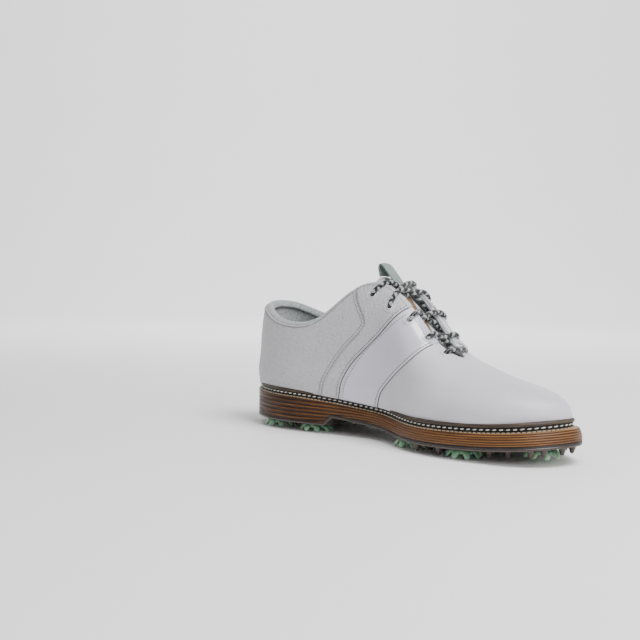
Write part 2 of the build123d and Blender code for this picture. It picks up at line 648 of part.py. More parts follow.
def strand(first_side, cross):
    """One end of the lace, from the lowest eyelet on first_side up to its tucked end."""
    side, rows = first_side, EYELET_X[::-1]
    points = [facing(side, rows[0], EYELETS[rows[0]], LACE_UNDER)]
    for below, above in zip(rows, rows[1:]):
        leave, cross_at, arrive = TOP_ROW if above == rows[-1] else LOWER_ROWS
        step = above - below
        middle = below + cross_at * step
        points += [
            facing(side, below + leave * step / 2, 2.6, LACE_UNDER),
            facing(side, below + leave * step, -0.5, LACE_UNDER),
            off_face(middle, along(LAST, middle, 4), cross),
            facing(-side, below + arrive * step, -0.5, EDGE_OVER),
            facing(-side, above, EYELETS[above], LACE_OVER),
            facing(-side, above, EYELETS[above], LACE_UNDER),
        ]
        side = -side
    return points + [facing(side, rows[-1] - 10, EYELETS[rows[-1]], LACE_UNDER)]


lowest = EYELET_X[-1]
bar = [facing(-1, lowest, EYELETS[lowest], LACE_OVER),
       off_face(lowest + 1.5, along(LAST, lowest, 4), LACE_OVER + 0.2),
       facing(1, lowest, EYELETS[lowest], LACE_OVER)]
route = strand(-1, CROSS_LOW)[::-1] + bar + strand(1, CROSS_HIGH)
corner_radii = []
for before, corner, after in zip(route, route[1:], route[2:]):
    turn = radians((corner - before).get_angle(after - corner))
    run = min((corner - before).length, (after - corner).length)
    corner_radii.append(max(0.4, min(14.0, 0.45 * run / np.tan(turn / 2))))
with BuildLine() as lace_path:
    FilletPolyline(*route, radius=corner_radii)
with BuildPart() as lace:
    with BuildSketch(Plane(origin=lace_path.wires()[0] @ 0, z_dir=lace_path.wires()[0] % 0)):
        Circle(LACE_R)
    sweep(path=lace_path.wires()[0])
radii = [round(float(r), 1) for r in corner_radii]
print("lace length", round(lace_path.wires()[0].length, 1), "radii", radii)
save(lace.part, "lace", GREY)
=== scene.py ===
"""Looks of the left golf shoe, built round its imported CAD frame. Lengths are millimetres until make_mesh."""
import math

import bmesh
import bpy
import numpy as np
from mathutils import Matrix, Vector


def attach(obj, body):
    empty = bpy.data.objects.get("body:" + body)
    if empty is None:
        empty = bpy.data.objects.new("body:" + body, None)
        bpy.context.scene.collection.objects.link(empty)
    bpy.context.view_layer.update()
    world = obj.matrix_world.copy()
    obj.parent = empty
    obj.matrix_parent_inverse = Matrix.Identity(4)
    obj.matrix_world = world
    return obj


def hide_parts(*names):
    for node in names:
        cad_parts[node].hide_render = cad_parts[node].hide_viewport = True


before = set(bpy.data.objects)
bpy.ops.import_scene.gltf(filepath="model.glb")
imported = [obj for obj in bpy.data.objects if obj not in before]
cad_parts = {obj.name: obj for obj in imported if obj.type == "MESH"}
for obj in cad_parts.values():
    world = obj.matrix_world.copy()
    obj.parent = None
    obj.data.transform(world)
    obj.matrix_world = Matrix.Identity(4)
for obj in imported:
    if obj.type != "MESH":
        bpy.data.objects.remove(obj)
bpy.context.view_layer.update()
MM = 0.001
rng = np.random.default_rng(7)

# ------------------------------------------------------------------ shared shape of the shoe
SOLE_PLAN = [
    (-151, -1.5), (-140, -25.5), (-116, -41.2), (-87, -44.8), (-56, -39.6), (-24, -33), (-2, -31.5),
    (19, -40.5), (46, -52.8), (78, -56), (108, -52.2), (133, -43), (147, -26.5), (151, -7.5),
    (143.5, 9.5), (122, 26.3), (88, 40.2), (54, 50.8), (17, 56), (-20, 47.7), (-60, 41.6), (-100, 41.4),
    (-128, 34.2), (-146, 15.5),
]
FEATHER = [
    (-156, 35.2), (-130, 34.2), (-100, 33.4), (-75, 32.6), (-50, 31), (-25, 28.5), (5, 25.5), (30, 24.1),
    (60, 24), (90, 24.9), (120, 27), (156, 31),
]
# station, medial and lateral edge at the seam, ridge height, ridge side, squareness
LAST = [
    (-147.0, -9.5, 6.5, 76.0, -1.5, 2.6), (-143.0, -20.0, 16.5, 104.0, -1.5, 3.0),
    (-132.0, -30.5, 26.0, 130.0, -1.5, 3.0), (-112.0, -39.0, 35.5, 138.0, -1.5, 3.0),
    (-85.0, -41.5, 38.0, 141.0, -1.5, 3.0), (-55.0, -37.5, 37.0, 140.0, -2.5, 2.8),
    (-25.0, -32.5, 40.5, 133.0, -3.5, 2.6), (5.0, -31.5, 46.5, 114.0, -5.5, 2.4),
    (25.0, -39.5, 49.5, 93.0, -7.0, 2.3), (42.0, -46.0, 47.5, 76.0, -9.5, 2.3),
    (65.0, -50.0, 42.5, 64.0, -10.5, 2.3), (92.0, -49.0, 33.0, 55.5, -10.5, 2.3),
    (115.0, -42.5, 21.0, 50.5, -9.5, 2.3), (131.0, -32.5, 9.5, 45.5, -8.5, 2.3),
    (139.5, -23.0, 1.5, 40.5, -9.5, 2.3), (142.3, -17.5, -2.0, 37.0, -9.5, 2.3),
    (143.3, -14.0, -5.0, 35.0, -9.5, 2.3),
]
HEEL_TIP, TOE_TIP = -147.7, 144.0
PLAN_SQUARENESS = 2.2
BULGE, BULGE_UP, BULGE_SPREAD = 2.0, 11.0, 9.0
COLLAR = [(-160, 104), (-143, 100), (-118, 90), (-88, 84), (-62, 90), (-38, 110), (-22, 118.5), (-2, 118)]
QUARTER_EDGE = [
    (-31, 125), (-29, 111), (-22, 98), (-17.5, 89), (-21, 81), (-31, 71), (-44, 55), (-52, 39), (-58, 14),
]
EYESTAY_EDGE = [(33, 120), (15, 101), (9, 94), (-11, 74), (-28.5, 57.5), (-36.5, 43.5), (-42, 14)]
STRIP_EDGE = [(42, 118), (18, 98), (6, 87), (-16.5, 68), (-31, 48.5), (-37, 30), (-38.5, 14)]
SADDLE_EDGE = [(46, 92), (41, 76), (32, 64), (11.5, 49), (0, 37.5), (-4, 30), (-5, 14)]
# throat seen from above: x, medial and lateral half width, about the ridge line
THROAT = [(56, 3.6, 4.6), (50, 5.6, 8.2), (20, 10, 14.0), (-10, 14, 17.5), (-48, 17, 20)]
THROAT_TIP = 58.5
# eyelets: x and distance out from the throat's edge
EYELETS = {-15.0: 6.6, 2.5: 8.2, 20.0: 8.8, 36.0: 7.0, 50.5: 5.0}
EYELET_X = list(EYELETS)
WELT_INSET = [(-151, 1.2), (-60, 1.5), (-10, 1.8), (40, 3.2), (100, 4.4), (151, 5.4)]
WELT, MIDSOLE, OUTSOLE = 5.7, 8.8, 2.9
HEEL_BOTTOM, TREAD_BOTTOM = 8.6, 6.6
BREAST_X, BREAST_RUN, BREAST_RISE = -54.0, 8.0, 7.6
CLEATS = [
    ("toe", 127.5, -13.8, 3.0), ("ball_front_medial", 80.3, -38.1, 0), ("ball_rear_medial", 28.4, -30.7, 0),
    ("ball_front_lateral", 77.1, 26.3, 0), ("ball_rear_lateral", 20.5, 36.4, 0),
    ("heel_front_medial", -72.4, -25.7, 0), ("heel_rear_medial", -111.2, -26.8, 0),
    ("heel_front_lateral", -82.9, 26.1, 0), ("heel_rear_lateral", -119.8, 20.4, 0),
]


class Smooth:
    """Natural cubic spline through a table's rows, x against one of its columns."""

    def __init__(self, xs, ys):
        order = np.argsort(xs)
        self.x, self.y = np.asarray(xs, float)[order], np.asarray(ys, float)[order]
        h, n = np.diff(self.x), len(self.x)
        a, b = np.zeros((n, n)), np.zeros(n)
        a[0, 0] = a[-1, -1] = 1
        for i in range(1, n - 1):
            a[i, i - 1], a[i, i], a[i, i + 1] = h[i - 1], 2 * (h[i - 1] + h[i]), h[i]
            b[i] = 6 * ((self.y[i + 1] - self.y[i]) / h[i] - (self.y[i] - self.y[i - 1]) / h[i - 1])
        self.m = np.linalg.solve(a, b)

    def __call__(self, x):
        x = np.clip(np.asarray(x, float), self.x[0], self.x[-1])
        i = np.clip(np.searchsorted(self.x, x) - 1, 0, len(self.x) - 2)
        h = self.x[i + 1] - self.x[i]
        a, b = (self.x[i + 1] - x) / h, (x - self.x[i]) / h
        bend = ((a ** 3 - a) * self.m[i] + (b ** 3 - b) * self.m[i + 1]) * h * h / 6
        return a * self.y[i] + b * self.y[i + 1] + bend


def table(rows, column=1):
    return Smooth([r[0] for r in rows], [r[column] for r in rows])


seam_z = table(FEATHER)
welt_inset = table(WELT_INSET)
throat_halves = {-1: table(THROAT, 1), 1: table(THROAT, 2)}
edge_x = {name: Smooth([z for _, z in rows], [x for x, _ in rows]) for name, rows in (
    ("quarter", QUARTER_EDGE), ("eyestay", EYESTAY_EDGE), ("strip", STRIP_EDGE), ("saddle", SADDLE_EDGE))}
collar_z = table(COLLAR)

stations = [HEEL_TIP] + [r[0] for r in LAST] + [TOE_TIP]
middles = [-1.5] + [(r[1] + r[2]) / 2 for r in LAST] + [-9.5]
half_squares = [0.0] + [((r[2] - r[1]) / 2) ** 2 for r in LAST] + [0.0]
heights = [r[3] - float(seam_z(r[0])) for r in LAST]
rise_squares = [heights[0] ** 2 * 0.55] + [h ** 2 for h in heights] + [0.0]
middle_y, half_square = Smooth(stations, middles), Smooth(stations, half_squares)
rise_square = Smooth(stations, rise_squares)
ridge_y = Smooth(stations, [-1.5] + [r[4] for r in LAST] + [-9.5])
squareness = Smooth(stations, [2.5] + [r[5] for r in LAST] + [2.3])


def half_width(x):
    return np.sqrt(np.maximum(half_square(x), 1e-4))


def rise(x):
    return np.sqrt(np.maximum(rise_square(x), 1e-4))


def belly(height, across, half):
    at_seam = np.exp(-(BULGE_UP / BULGE_SPREAD) ** 2)
    swell = BULGE * (np.exp(-((height - BULGE_UP) / BULGE_SPREAD) ** 2) - at_seam)
    return swell * np.minimum(1, 3 * np.abs(across)) * half / (half + 6)


def by_height(x, z, side):
    """y of the upper's outer face at station x and height z, on the medial (-1) or lateral (1) side."""
    x, z = np.asarray(x, float), np.asarray(z, float)
    up = np.clip((z - seam_z(x)) / rise(x), 0, 1)
    sine = up ** (squareness(x) / 2)
    across = np.sqrt(np.maximum(1 - sine ** 2, 0)) ** (2 / PLAN_SQUARENESS)
    half = half_width(x)
    y = middle_y(x) + side * across * half
    return y + (ridge_y(x) - middle_y(x)) * up ** 1.5 + side * belly(z - seam_z(x), across, half)


def by_turn(x, turn):
    """(y, z) of the outer face at station x; turn 0 is the medial seam, pi the lateral seam."""
    sine, cosine = np.maximum(np.sin(turn), 0), -np.cos(turn)
    up = sine ** (2 / squareness(x))
    side = np.where(cosine > 0, 1, -1)
    across = np.abs(cosine) ** (2 / PLAN_SQUARENESS)
    half, height = half_width(x), rise(x) * up
    y = middle_y(x) + side * across * half + (ridge_y(x) - middle_y(x)) * up ** 1.5
    return y + side * belly(height, across, half), seam_z(x) + height


def throat_half(x, side):
    """Half width of the gap between the eyestays, on one side of the ridge."""
    x, last = np.asarray(x, float), THROAT[0][0]
    tip = np.sqrt(np.maximum(0, (THROAT_TIP - x) / (THROAT_TIP - last)))
    inner = np.minimum(x, last)
    wide = np.where(np.asarray(side) < 0, throat_halves[-1](inner), throat_halves[1](inner))
    return np.where(x > last, tip * wide, wide)


# ------------------------------------------------------------------ mesh helpers
def make_mesh(name, points, faces, uv=None):
    """Object from points in millimetres; uv is one pair per point."""
    mesh = bpy.data.meshes.new(name)
    mesh.from_pydata((np.asarray(points, float) * MM).tolist(), [], [tuple(f) for f in faces])
    if uv is not None:
        layer = mesh.uv_layers.new(name="UVMap")
        loops = np.zeros(len(mesh.loops), int)
        mesh.loops.foreach_get("vertex_index", loops)
        layer.data.foreach_set("uv", np.asarray(uv, float)[loops].ravel())
    work = bmesh.new()
    work.from_mesh(mesh)
    bmesh.ops.remove_doubles(work, verts=work.verts, dist=2e-6)
    bmesh.ops.dissolve_degenerate(work, edges=work.edges, dist=1e-6)
    bmesh.ops.recalc_face_normals(work, faces=work.faces)
    work.to_mesh(mesh)
    work.free()
    mesh.polygons.foreach_set("use_smooth", [True] * len(mesh.polygons))
    piece = bpy.data.objects.new(name, mesh)
    bpy.context.scene.collection.objects.link(piece)
    return piece


def quads(rows, columns, start=0, wrap_rows=False, wrap_columns=False):
    """Quads of a grid of points numbered row by row."""
    last_row = rows if wrap_rows else rows - 1
    last_column = columns if wrap_columns else columns - 1
    r, c = np.meshgrid(np.arange(last_row), np.arange(last_column), indexing="ij")
    r2, c2 = (r + 1) % rows, (c + 1) % columns
    index = np.stack([r * columns + c, r * columns + c2, r2 * columns + c2, r2 * columns + c], -1)
    return (index.reshape(-1, 4) + start).tolist()


def grid_normals(points, outward):
    """Unit normals of a grid of points, turned to the same side as outward."""
    a, b = np.gradient(points, axis=0), np.gradient(points, axis=1)
    normal = np.cross(a, b)
    normal /= np.maximum(np.linalg.norm(normal, axis=-1, keepdims=True), 1e-9)
    sign = np.sign(np.sum(normal * outward, -1, keepdims=True))
    sign[sign == 0] = 1
    return normal * sign


def run_length(points, axis):
    """Distance run along one axis of a grid of points."""
    step = np.linalg.norm(np.diff(points, axis=axis), axis=-1)
    zero = np.zeros_like(np.take(step, [0], axis=axis))
    return np.concatenate([zero, np.cumsum(step, axis=axis)], axis=axis)


def slab(name, surface, normal, out, thick, wrap_columns=False):
    """Closed sheet: a grid raised by out along its normals, and its back face thick below."""
    rows, columns = surface.shape[:2]
    top = surface + normal * np.asarray(out)[..., None]
    back = surface + normal * (np.asarray(out) - thick)[..., None]
    uv = np.stack([run_length(surface, 1), run_length(surface, 0)], -1).reshape(-1, 2) * MM
    faces = quads(rows, columns, 0, False, wrap_columns)
    faces += [f[::-1] for f in quads(rows, columns, rows * columns, False, wrap_columns)]
    shift = rows * columns
    edges = []
    if not wrap_columns:
        edges += [[(r * columns, (r + 1) * columns) for r in range(rows - 1)],
                  [((r + 1) * columns - 1, (r + 2) * columns - 1) for r in range(rows - 1)]]
    wide = columns if wrap_columns else columns - 1
    for row in (0, rows - 1):
        edges.append([(row * columns + c, row * columns + (c + 1) % columns) for c in range(wide)])
    for line in edges:
        faces += [(a, b, b + shift, a + shift) for a, b in line]
    points = np.concatenate([top.reshape(-1, 3), back.reshape(-1, 3)])
    return make_mesh(name, points, faces, np.tile(uv, (2, 1)))


def nearest(points, line):
    """Distance of every point to the nearest of a line's points."""
    flat = points.reshape(-1, 3)
    best = np.full(len(flat), 1e9)
    for start in range(0, len(flat), 4000):
        part = flat[start:start + 4000]
        best[start:start + 4000] = np.sqrt(((part[:, None] - line[None]) ** 2).sum(-1).min(1))
    return best.reshape(points.shape[:-1])


def resample(line, pitch):
    """Points evenly pitched along a line, with its directions."""
    line = np.asarray(line, float)
    run = np.concatenate([[0], np.cumsum(np.linalg.norm(np.diff(line, axis=0), axis=1))])
    count = max(2, int(round(run[-1] / pitch)))
    at = (np.arange(count) + 0.5) * run[-1] / count
    spots = np.stack([np.interp(at, run, line[:, i]) for i in range(3)], -1)
    ahead = np.stack([np.interp(at + 0.4, run, line[:, i]) for i in range(3)], -1)
    behind = np.stack([np.interp(at - 0.4, run, line[:, i]) for i in range(3)], -1)
    way = ahead - behind
    return spots, way / np.maximum(np.linalg.norm(way, axis=1, keepdims=True), 1e-9), at


def interpolate_normals(line, normals, pitch):
    """The normals of a line at the places that resample gives."""
    run = np.concatenate([[0], np.cumsum(np.linalg.norm(np.diff(line, axis=0), axis=1))])
    at = resample(line, pitch)[2]
    found = np.stack([np.interp(at, run, normals[:, i]) for i in range(3)], -1)
    return found / np.linalg.norm(found, axis=1, keepdims=True)


STITCH_RING = 6
# a stitch from end to end: share of its half length, share of its radius, and how far it sinks in radii
STITCH_SHAPE = [(-1, 0.35, -1.0), (-0.72, 0.85, -0.25), (0, 1, 0.1), (0.72, 0.85, -0.25), (1, 0.35, -1.0)]
STITCH_SPREAD = 0.06


def stitches(name, lines, pitch, long, radius, lift=0.12, lean=0.0):
    """Rows of thread stitches; lines are (points, normals) on the surface."""
    points, faces = [], []
    for line, normals in lines:
        spots, ways, _ = resample(line, pitch)
        ups = interpolate_normals(np.asarray(line), np.asarray(normals), pitch)
        for spot, way, up in zip(spots, ways, ups):
            across = np.cross(up, way)
            way = way * math.cos(lean) + across * math.sin(lean)
            across = np.cross(up, way)
            half = long / 2 * (1 + STITCH_SPREAD * rng.standard_normal())
            start = len(points)
            for along, wide, sink in STITCH_SHAPE:
                centre = spot + way * along * half + up * (lift + sink * radius)
                for k in range(STITCH_RING):
                    turn = 2 * math.pi * k / STITCH_RING
                    points.append(centre + radius * wide * (across * math.cos(turn) + up * math.sin(turn)))
            faces += quads(len(STITCH_SHAPE), STITCH_RING, start, False, True)
            last = start + (len(STITCH_SHAPE) - 1) * STITCH_RING
            faces.append([start + k for k in range(STITCH_RING)])
            faces.append([last + k for k in range(STITCH_RING)][::-1])
    return make_mesh(name, points, faces)


def tube(name, line, radius, sides=10, wide=1.0, ups=None, closed=False, bump=None):
    """Tube along a line; wide stretches it across, ups gives its upright, bump its surface relief."""
    line = np.asarray(line, float)
    if closed:
        way = np.roll(line, -1, 0) - np.roll(line, 1, 0)
    else:
        way = np.gradient(line, axis=0)
    way /= np.linalg.norm(way, axis=1, keepdims=True)
    if ups is None:
        up = np.array([0, 0, 1.0]) - way[0] * way[0][2]
        frames = []
        for w in way:
            up = up - w * np.dot(up, w)
            up = up / np.linalg.norm(up)
            frames.append(up)
        ups = np.array(frames)
    ups = ups - way * np.sum(ups * way, 1, keepdims=True)
    ups /= np.linalg.norm(ups, axis=1, keepdims=True)
    side = np.cross(way, ups)
    turn = 2 * np.pi * np.arange(sides) / sides
    run = run_length(line[:, None], 0)[:, 0]
    relief = np.zeros((len(line), sides)) if bump is None else bump(run[:, None], turn[None])
    size = radius + relief
    points = (line[:, None] + side[:, None] * (size * np.cos(turn) * wide)[..., None]
              + ups[:, None] * (size * np.sin(turn))[..., None])
    along, around = np.broadcast_to(run[:, None], size.shape), np.broadcast_to(turn / 2 / np.pi, size.shape)
    uv = np.stack([along * MM, around], -1)
    faces = quads(len(line), sides, 0, closed, True)
    if not closed:
        faces.append(list(range(sides))[::-1])
        faces.append([(len(line) - 1) * sides + k for k in range(sides)])
    return make_mesh(name, points.reshape(-1, 3), faces, uv.reshape(-1, 2))


def wear(piece, material, body="shoe", hides=()):
    """Give a piece its material, its body and the CAD nodes it stands for."""
    piece.data.materials.clear()
    piece.data.materials.append(material)
    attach(piece, body)
    if hides:
        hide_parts(*hides)
    return piece


# ------------------------------------------------------------------ materials
class Finish:
    """A procedural material: its shader, and short ways to add textures and bump."""

    def __init__(self, name, colour, roughness, **sockets):
        self.material = bpy.data.materials.new(name)
        self.material.use_nodes = True
        self.tree = self.material.node_tree
        self.shader = self.tree.nodes["Principled BSDF"]
        self.shader.inputs["Base Color"].default_value = (*colour, 1)
        self.shader.inputs["Roughness"].default_value = roughness
        for socket, value in sockets.items():
            self.shader.inputs[socket.replace("_", " ")].default_value = value
        self.height = None

    def node(self, kind, **values):
        node = self.tree.nodes.new(kind)
        for key, value in values.items():
            if key in node.inputs:
                node.inputs[key].default_value = value
            else:
                setattr(node, key, value)
        return node

    def link(self, a, b):
        self.tree.links.new(a, b)

    def place(self, kind="Object", stretch=(1, 1, 1), turn=(0, 0, 0)):
        """Texture coordinates, scaled and turned."""
        source = self.node("ShaderNodeTexCoord")
        mapping = self.node("ShaderNodeMapping")
        mapping.inputs["Scale"].default_value = stretch
        mapping.inputs["Rotation"].default_value = turn
        self.link(source.outputs[kind], mapping.inputs["Vector"])
        return mapping.outputs["Vector"]

    def noise(self, scale, detail=3.0, rough=0.5, at=None, distortion=0.0):
        node = self.node("ShaderNodeTexNoise", Scale=scale, Detail=detail, Roughness=rough,
                         Distortion=distortion)
        self.link(at if at is not None else self.place(), node.inputs["Vector"])
        return node.outputs["Fac"]

    def cells(self, scale, feature="SMOOTH_F1", at=None):
        node = self.node("ShaderNodeTexVoronoi", feature=feature)
        node.inputs["Scale"].default_value = scale
        self.link(at if at is not None else self.place(), node.inputs["Vector"])
        return node.outputs["Distance"]

    def wave(self, scale, at, direction="X"):
        node = self.node("ShaderNodeTexWave", bands_direction=direction)
        node.inputs["Scale"].default_value = scale
        self.link(at, node.inputs["Vector"])
        return node.outputs["Fac"]

    def maths(self, operation, a, b=0.0):
        node = self.node("ShaderNodeMath", operation=operation)
        for socket, value in zip(node.inputs, (a, b)):
            if isinstance(value, (int, float)):
                socket.default_value = value
            else:
                self.link(value, socket)
        return node.outputs[0]

    def ramp(self, source, stops):
        """Colours or greys by value; stops are (place, colour)."""
        node = self.node("ShaderNodeValToRGB")
        ramp = node.color_ramp
        while len(ramp.elements) < len(stops):
            ramp.elements.new(0.5)
        for element, (place, colour) in zip(ramp.elements, stops):
            element.position = place
            element.color = (*colour, 1) if isinstance(colour, tuple) else (colour, colour, colour, 1)
        self.link(source, node.inputs["Fac"])
        return node.outputs["Color"]

    def paint(self, source, stops):
        self.link(self.ramp(source, stops), self.shader.inputs["Base Color"])

    def gloss(self, source, stops):
        self.link(self.ramp(source, stops), self.shader.inputs["Roughness"])

    def bump(self, source, distance):
        """Add relief; distance is in millimetres."""
        node = self.node("ShaderNodeBump")
        node.inputs["Strength"].default_value = 1
        node.inputs["Distance"].default_value = distance * MM
        self.link(source, node.inputs["Height"])
        if self.height is not None:
            self.link(self.height, node.inputs["Normal"])
        self.height = node.outputs["Normal"]
        self.link(self.height, self.shader.inputs["Normal"])


def smooth_leather(name, colour, roughness=0.42, fine=0.035):
    skin = Finish(name, colour, roughness, Specular_IOR_Level=0.45, Coat_Weight=0.12, Coat_Roughness=0.35)
    light, shade = tuple(c * 1.03 for c in colour), tuple(c * 0.93 for c in colour)
    skin.paint(skin.noise(28, 4, 0.6), [(0.3, shade), (0.62, light)])
    skin.gloss(skin.noise(60, 3), [(0.3, roughness - 0.06), (0.7, roughness + 0.08)])
    skin.bump(skin.cells(1300), fine * 2)
    skin.bump(skin.noise(420, 4, 0.6), fine * 3)
    skin.bump(skin.noise(1.0, 3, 0.6, at=skin.place(stretch=(150, 45, 60))), 0.12)
    skin.bump(skin.noise(30, 2), 0.2)
    return skin.material


def pebbled_leather(name, colour):
    skin = Finish(name, colour, 0.46, Specular_IOR_Level=0.5)
    grain = skin.cells(620, at=skin.place(stretch=(1, 1, 1.15)))
    skin.paint(grain, [(0.25, tuple(c * 1.03 for c in colour)), (0.75, tuple(c * 0.86 for c in colour))])
    skin.gloss(grain, [(0.1, 0.38), (0.7, 0.6)])
    skin.bump(grain, -0.62)
    skin.bump(skin.noise(900, 3), 0.05)
    return skin.material


def patent_leather(name, colour):
    skin = Finish(name, colour, 0.2, Specular_IOR_Level=0.55, Coat_Weight=0.75, Coat_Roughness=0.04)
    darker, paler = tuple(c * 0.96 for c in colour), tuple(c * 1.02 for c in colour)
    skin.paint(skin.noise(22, 3), [(0.3, darker), (0.7, paler)])
    skin.gloss(skin.noise(45, 3), [(0.3, 0.14), (0.7, 0.26)])
    skin.bump(skin.noise(34, 2, 0.4), 0.25)
    skin.bump(skin.noise(700, 2), 0.012)
    return skin.material


def woven_cloth(name, colour, pitch, dark=0.55, roughness=0.85, at="UV"):
    """Plain weave of the given pitch in millimetres."""
    cloth = Finish(name, colour, roughness, Specular_IOR_Level=0.2, Sheen_Weight=0.25, Sheen_Roughness=0.5)
    scale = 1 / (pitch * MM)
    spot = cloth.place(at)
    warp = cloth.wave(scale / 20 * 6.28, at=spot, direction="X")
    weft = cloth.wave(scale / 20 * 6.28, at=spot, direction="Y")
    weave = cloth.maths("MULTIPLY", warp, weft)
    cloth.paint(weave, [(0.0, tuple(c * dark for c in colour)), (0.5, colour)])
    cloth.bump(weave, 0.18)
    cloth.bump(cloth.noise(900, 3, at=spot), 0.06)
    return cloth.material


def knit_lining(name, colour):
    cloth = Finish(name, colour, 0.9, Specular_IOR_Level=0.15, Sheen_Weight=0.3, Sheen_Roughness=0.6)
    loops = cloth.cells(760, at=cloth.place(stretch=(1, 1, 0.7)))
    cloth.paint(loops, [(0.15, tuple(c * 1.08 for c in colour)), (0.6, tuple(c * 0.72 for c in colour))])
    cloth.bump(loops, -0.3)
    cloth.bump(cloth.noise(1500, 2), 0.05)
    return cloth.material


BRAID = 2.6


def braided_lace(name):
    """Grey, black and white speckled braid; U runs along the lace and V round it."""
    cord = Finish(name, (0.5, 0.5, 0.5), 0.8, Specular_IOR_Level=0.25, Sheen_Weight=0.3, Sheen_Roughness=0.5)
    split = cord.node("ShaderNodeSeparateXYZ")
    cord.link(cord.place("UV", stretch=(1 / (BRAID * MM), 3, 1)), split.inputs[0])
    cells, edges = [], []
    for way in ("ADD", "SUBTRACT"):
        slant = cord.maths(way, split.outputs[0], split.outputs[1])
        cells.append(cord.maths("FLOOR", slant))
        edges.append(cord.maths("PINGPONG", slant, 0.5))
    over = cord.maths("MODULO", cord.maths("ADD", cord.maths("ADD", *cells), 3000), 2)
    under = cord.maths("SUBTRACT", 1, over)
    tones = []
    for cell, shown in zip(cells, (over, under)):
        carrier = cord.maths("MODULO", cord.maths("ADD", cell, 3000), 3)
        tones.append(cord.maths("MULTIPLY", carrier, shown))
    tone = cord.maths("ADD", *tones)
    fibre = cord.maths("MULTIPLY", cord.noise(1.0, 2, at=cord.place("UV", stretch=(2600, 30, 1))), 0.5)
    tone = cord.maths("MULTIPLY", cord.maths("ADD", tone, fibre), 0.36)
    cord.paint(tone, [(0.0, (0.006, 0.007, 0.008)), (0.4, (0.014, 0.015, 0.017)),
                      (0.62, (0.07, 0.075, 0.078)), (0.76, (0.2, 0.21, 0.21)), (0.9, (0.55, 0.56, 0.55))])
    braid = cord.maths("MULTIPLY", *edges)
    cord.bump(braid, 0.5)
    cord.bump(cord.noise(2500, 2, at=cord.place("Object")), 0.05)
    return cord.material


def stacked_wood(name):
    """Layered grain that follows the sole: U runs round it in metres, V counts the layers."""
    wood = Finish(name, (0.2, 0.1, 0.05), 0.5, Specular_IOR_Level=0.2, Coat_Weight=0.05, Coat_Roughness=0.25)
    split = wood.node("ShaderNodeSeparateXYZ")
    wood.link(wood.place("UV"), split.inputs[0])
    sway = wood.noise(1.0, 2, 0.5, at=wood.place("UV", stretch=(22, 0.4, 1)))
    layer = wood.maths("ADD", split.outputs[1], wood.maths("MULTIPLY", sway, 0.35))
    band = wood.maths("PINGPONG", layer, 0.5)
    fine = wood.noise(1.0, 5, 0.62, at=wood.place("UV", stretch=(30, 2.6, 1)), distortion=0.15)
    hair = wood.noise(1.0, 4, 0.7, at=wood.place("UV", stretch=(90, 9, 1)))
    grain = wood.maths("ADD", wood.maths("MULTIPLY", band, 0.62), wood.maths("MULTIPLY", fine, 0.5))
    grain = wood.maths("ADD", grain, wood.maths("MULTIPLY", hair, 0.22))
    # painted shade: the grain darkens steadily from x 0 back to x -91 mm, by up to 0.11
    where = wood.node("ShaderNodeSeparateXYZ")
    wood.link(wood.place("Object"), where.inputs[0])
    behind = wood.maths("MAXIMUM", 0, wood.maths("MULTIPLY", where.outputs[0], -11))
    heel_shade = wood.maths("MINIMUM", 1, behind)
    grain = wood.maths("SUBTRACT", grain, wood.maths("MULTIPLY", heel_shade, 0.11))
    wood.paint(grain, [(0.24, (0.008, 0.003, 0.0015)), (0.4, (0.032, 0.012, 0.0045)),
                       (0.52, (0.088, 0.035, 0.011)), (0.64, (0.19, 0.084, 0.026)),
                       (0.78, (0.34, 0.185, 0.066))])
    wood.gloss(fine, [(0.3, 0.5), (0.7, 0.32)])
    wood.bump(grain, 0.2)
    wood.bump(hair, 0.06)
    return wood.material


def welt_leather(name):
    skin = Finish(name, (0.12, 0.07, 0.045), 0.5, Specular_IOR_Level=0.4)
    along_grain = skin.noise(1.0, 4, 0.6, at=skin.place("UV", stretch=(60, 700, 1)))
    skin.paint(along_grain, [(0.3, (0.016, 0.01, 0.006)), (0.55, (0.045, 0.03, 0.018)),
                             (0.75, (0.1, 0.07, 0.042))])
    skin.bump(along_grain, 0.12)
    skin.bump(skin.noise(900, 3), 0.06)
    return skin.material


def moulded(name, colour, roughness, grain=0.03, **sockets):
    """Moulded plastic or rubber with fine texture, smudges and paler worn spots."""
    plastic = Finish(name, colour, roughness, **sockets)
    darker, paler = tuple(c * 0.82 for c in colour), tuple(min(1, c * 1.2) for c in colour)
    plastic.paint(plastic.noise(70, 4, 0.6), [(0.3, darker), (0.7, paler)])
    plastic.gloss(plastic.noise(120, 4, 0.7), [(0.3, max(0.05, roughness - 0.1)), (0.7, roughness + 0.14)])
    plastic.bump(plastic.noise(1400, 3), grain)
    return plastic.material


def thread_finish(name, colour):
    thread = Finish(name, colour, 0.7, Specular_IOR_Level=0.3, Sheen_Weight=0.2, Sheen_Roughness=0.5)
    thread.paint(thread.noise(160, 3), [(0.3, tuple(c * 0.8 for c in colour)), (0.7, colour)])
    thread.bump(thread.wave(420, at=thread.place(turn=(0.6, 0.8, 0.4))), 0.08)
    return thread.material


def cork_finish(name):
    cork = Finish(name, (0.5, 0.33, 0.18), 0.85)
    cork.paint(cork.cells(420, "F1"), [(0.1, (0.3, 0.17, 0.08)), (0.6, (0.56, 0.38, 0.22))])
    cork.bump(cork.cells(420), 0.3)
    return cork.material


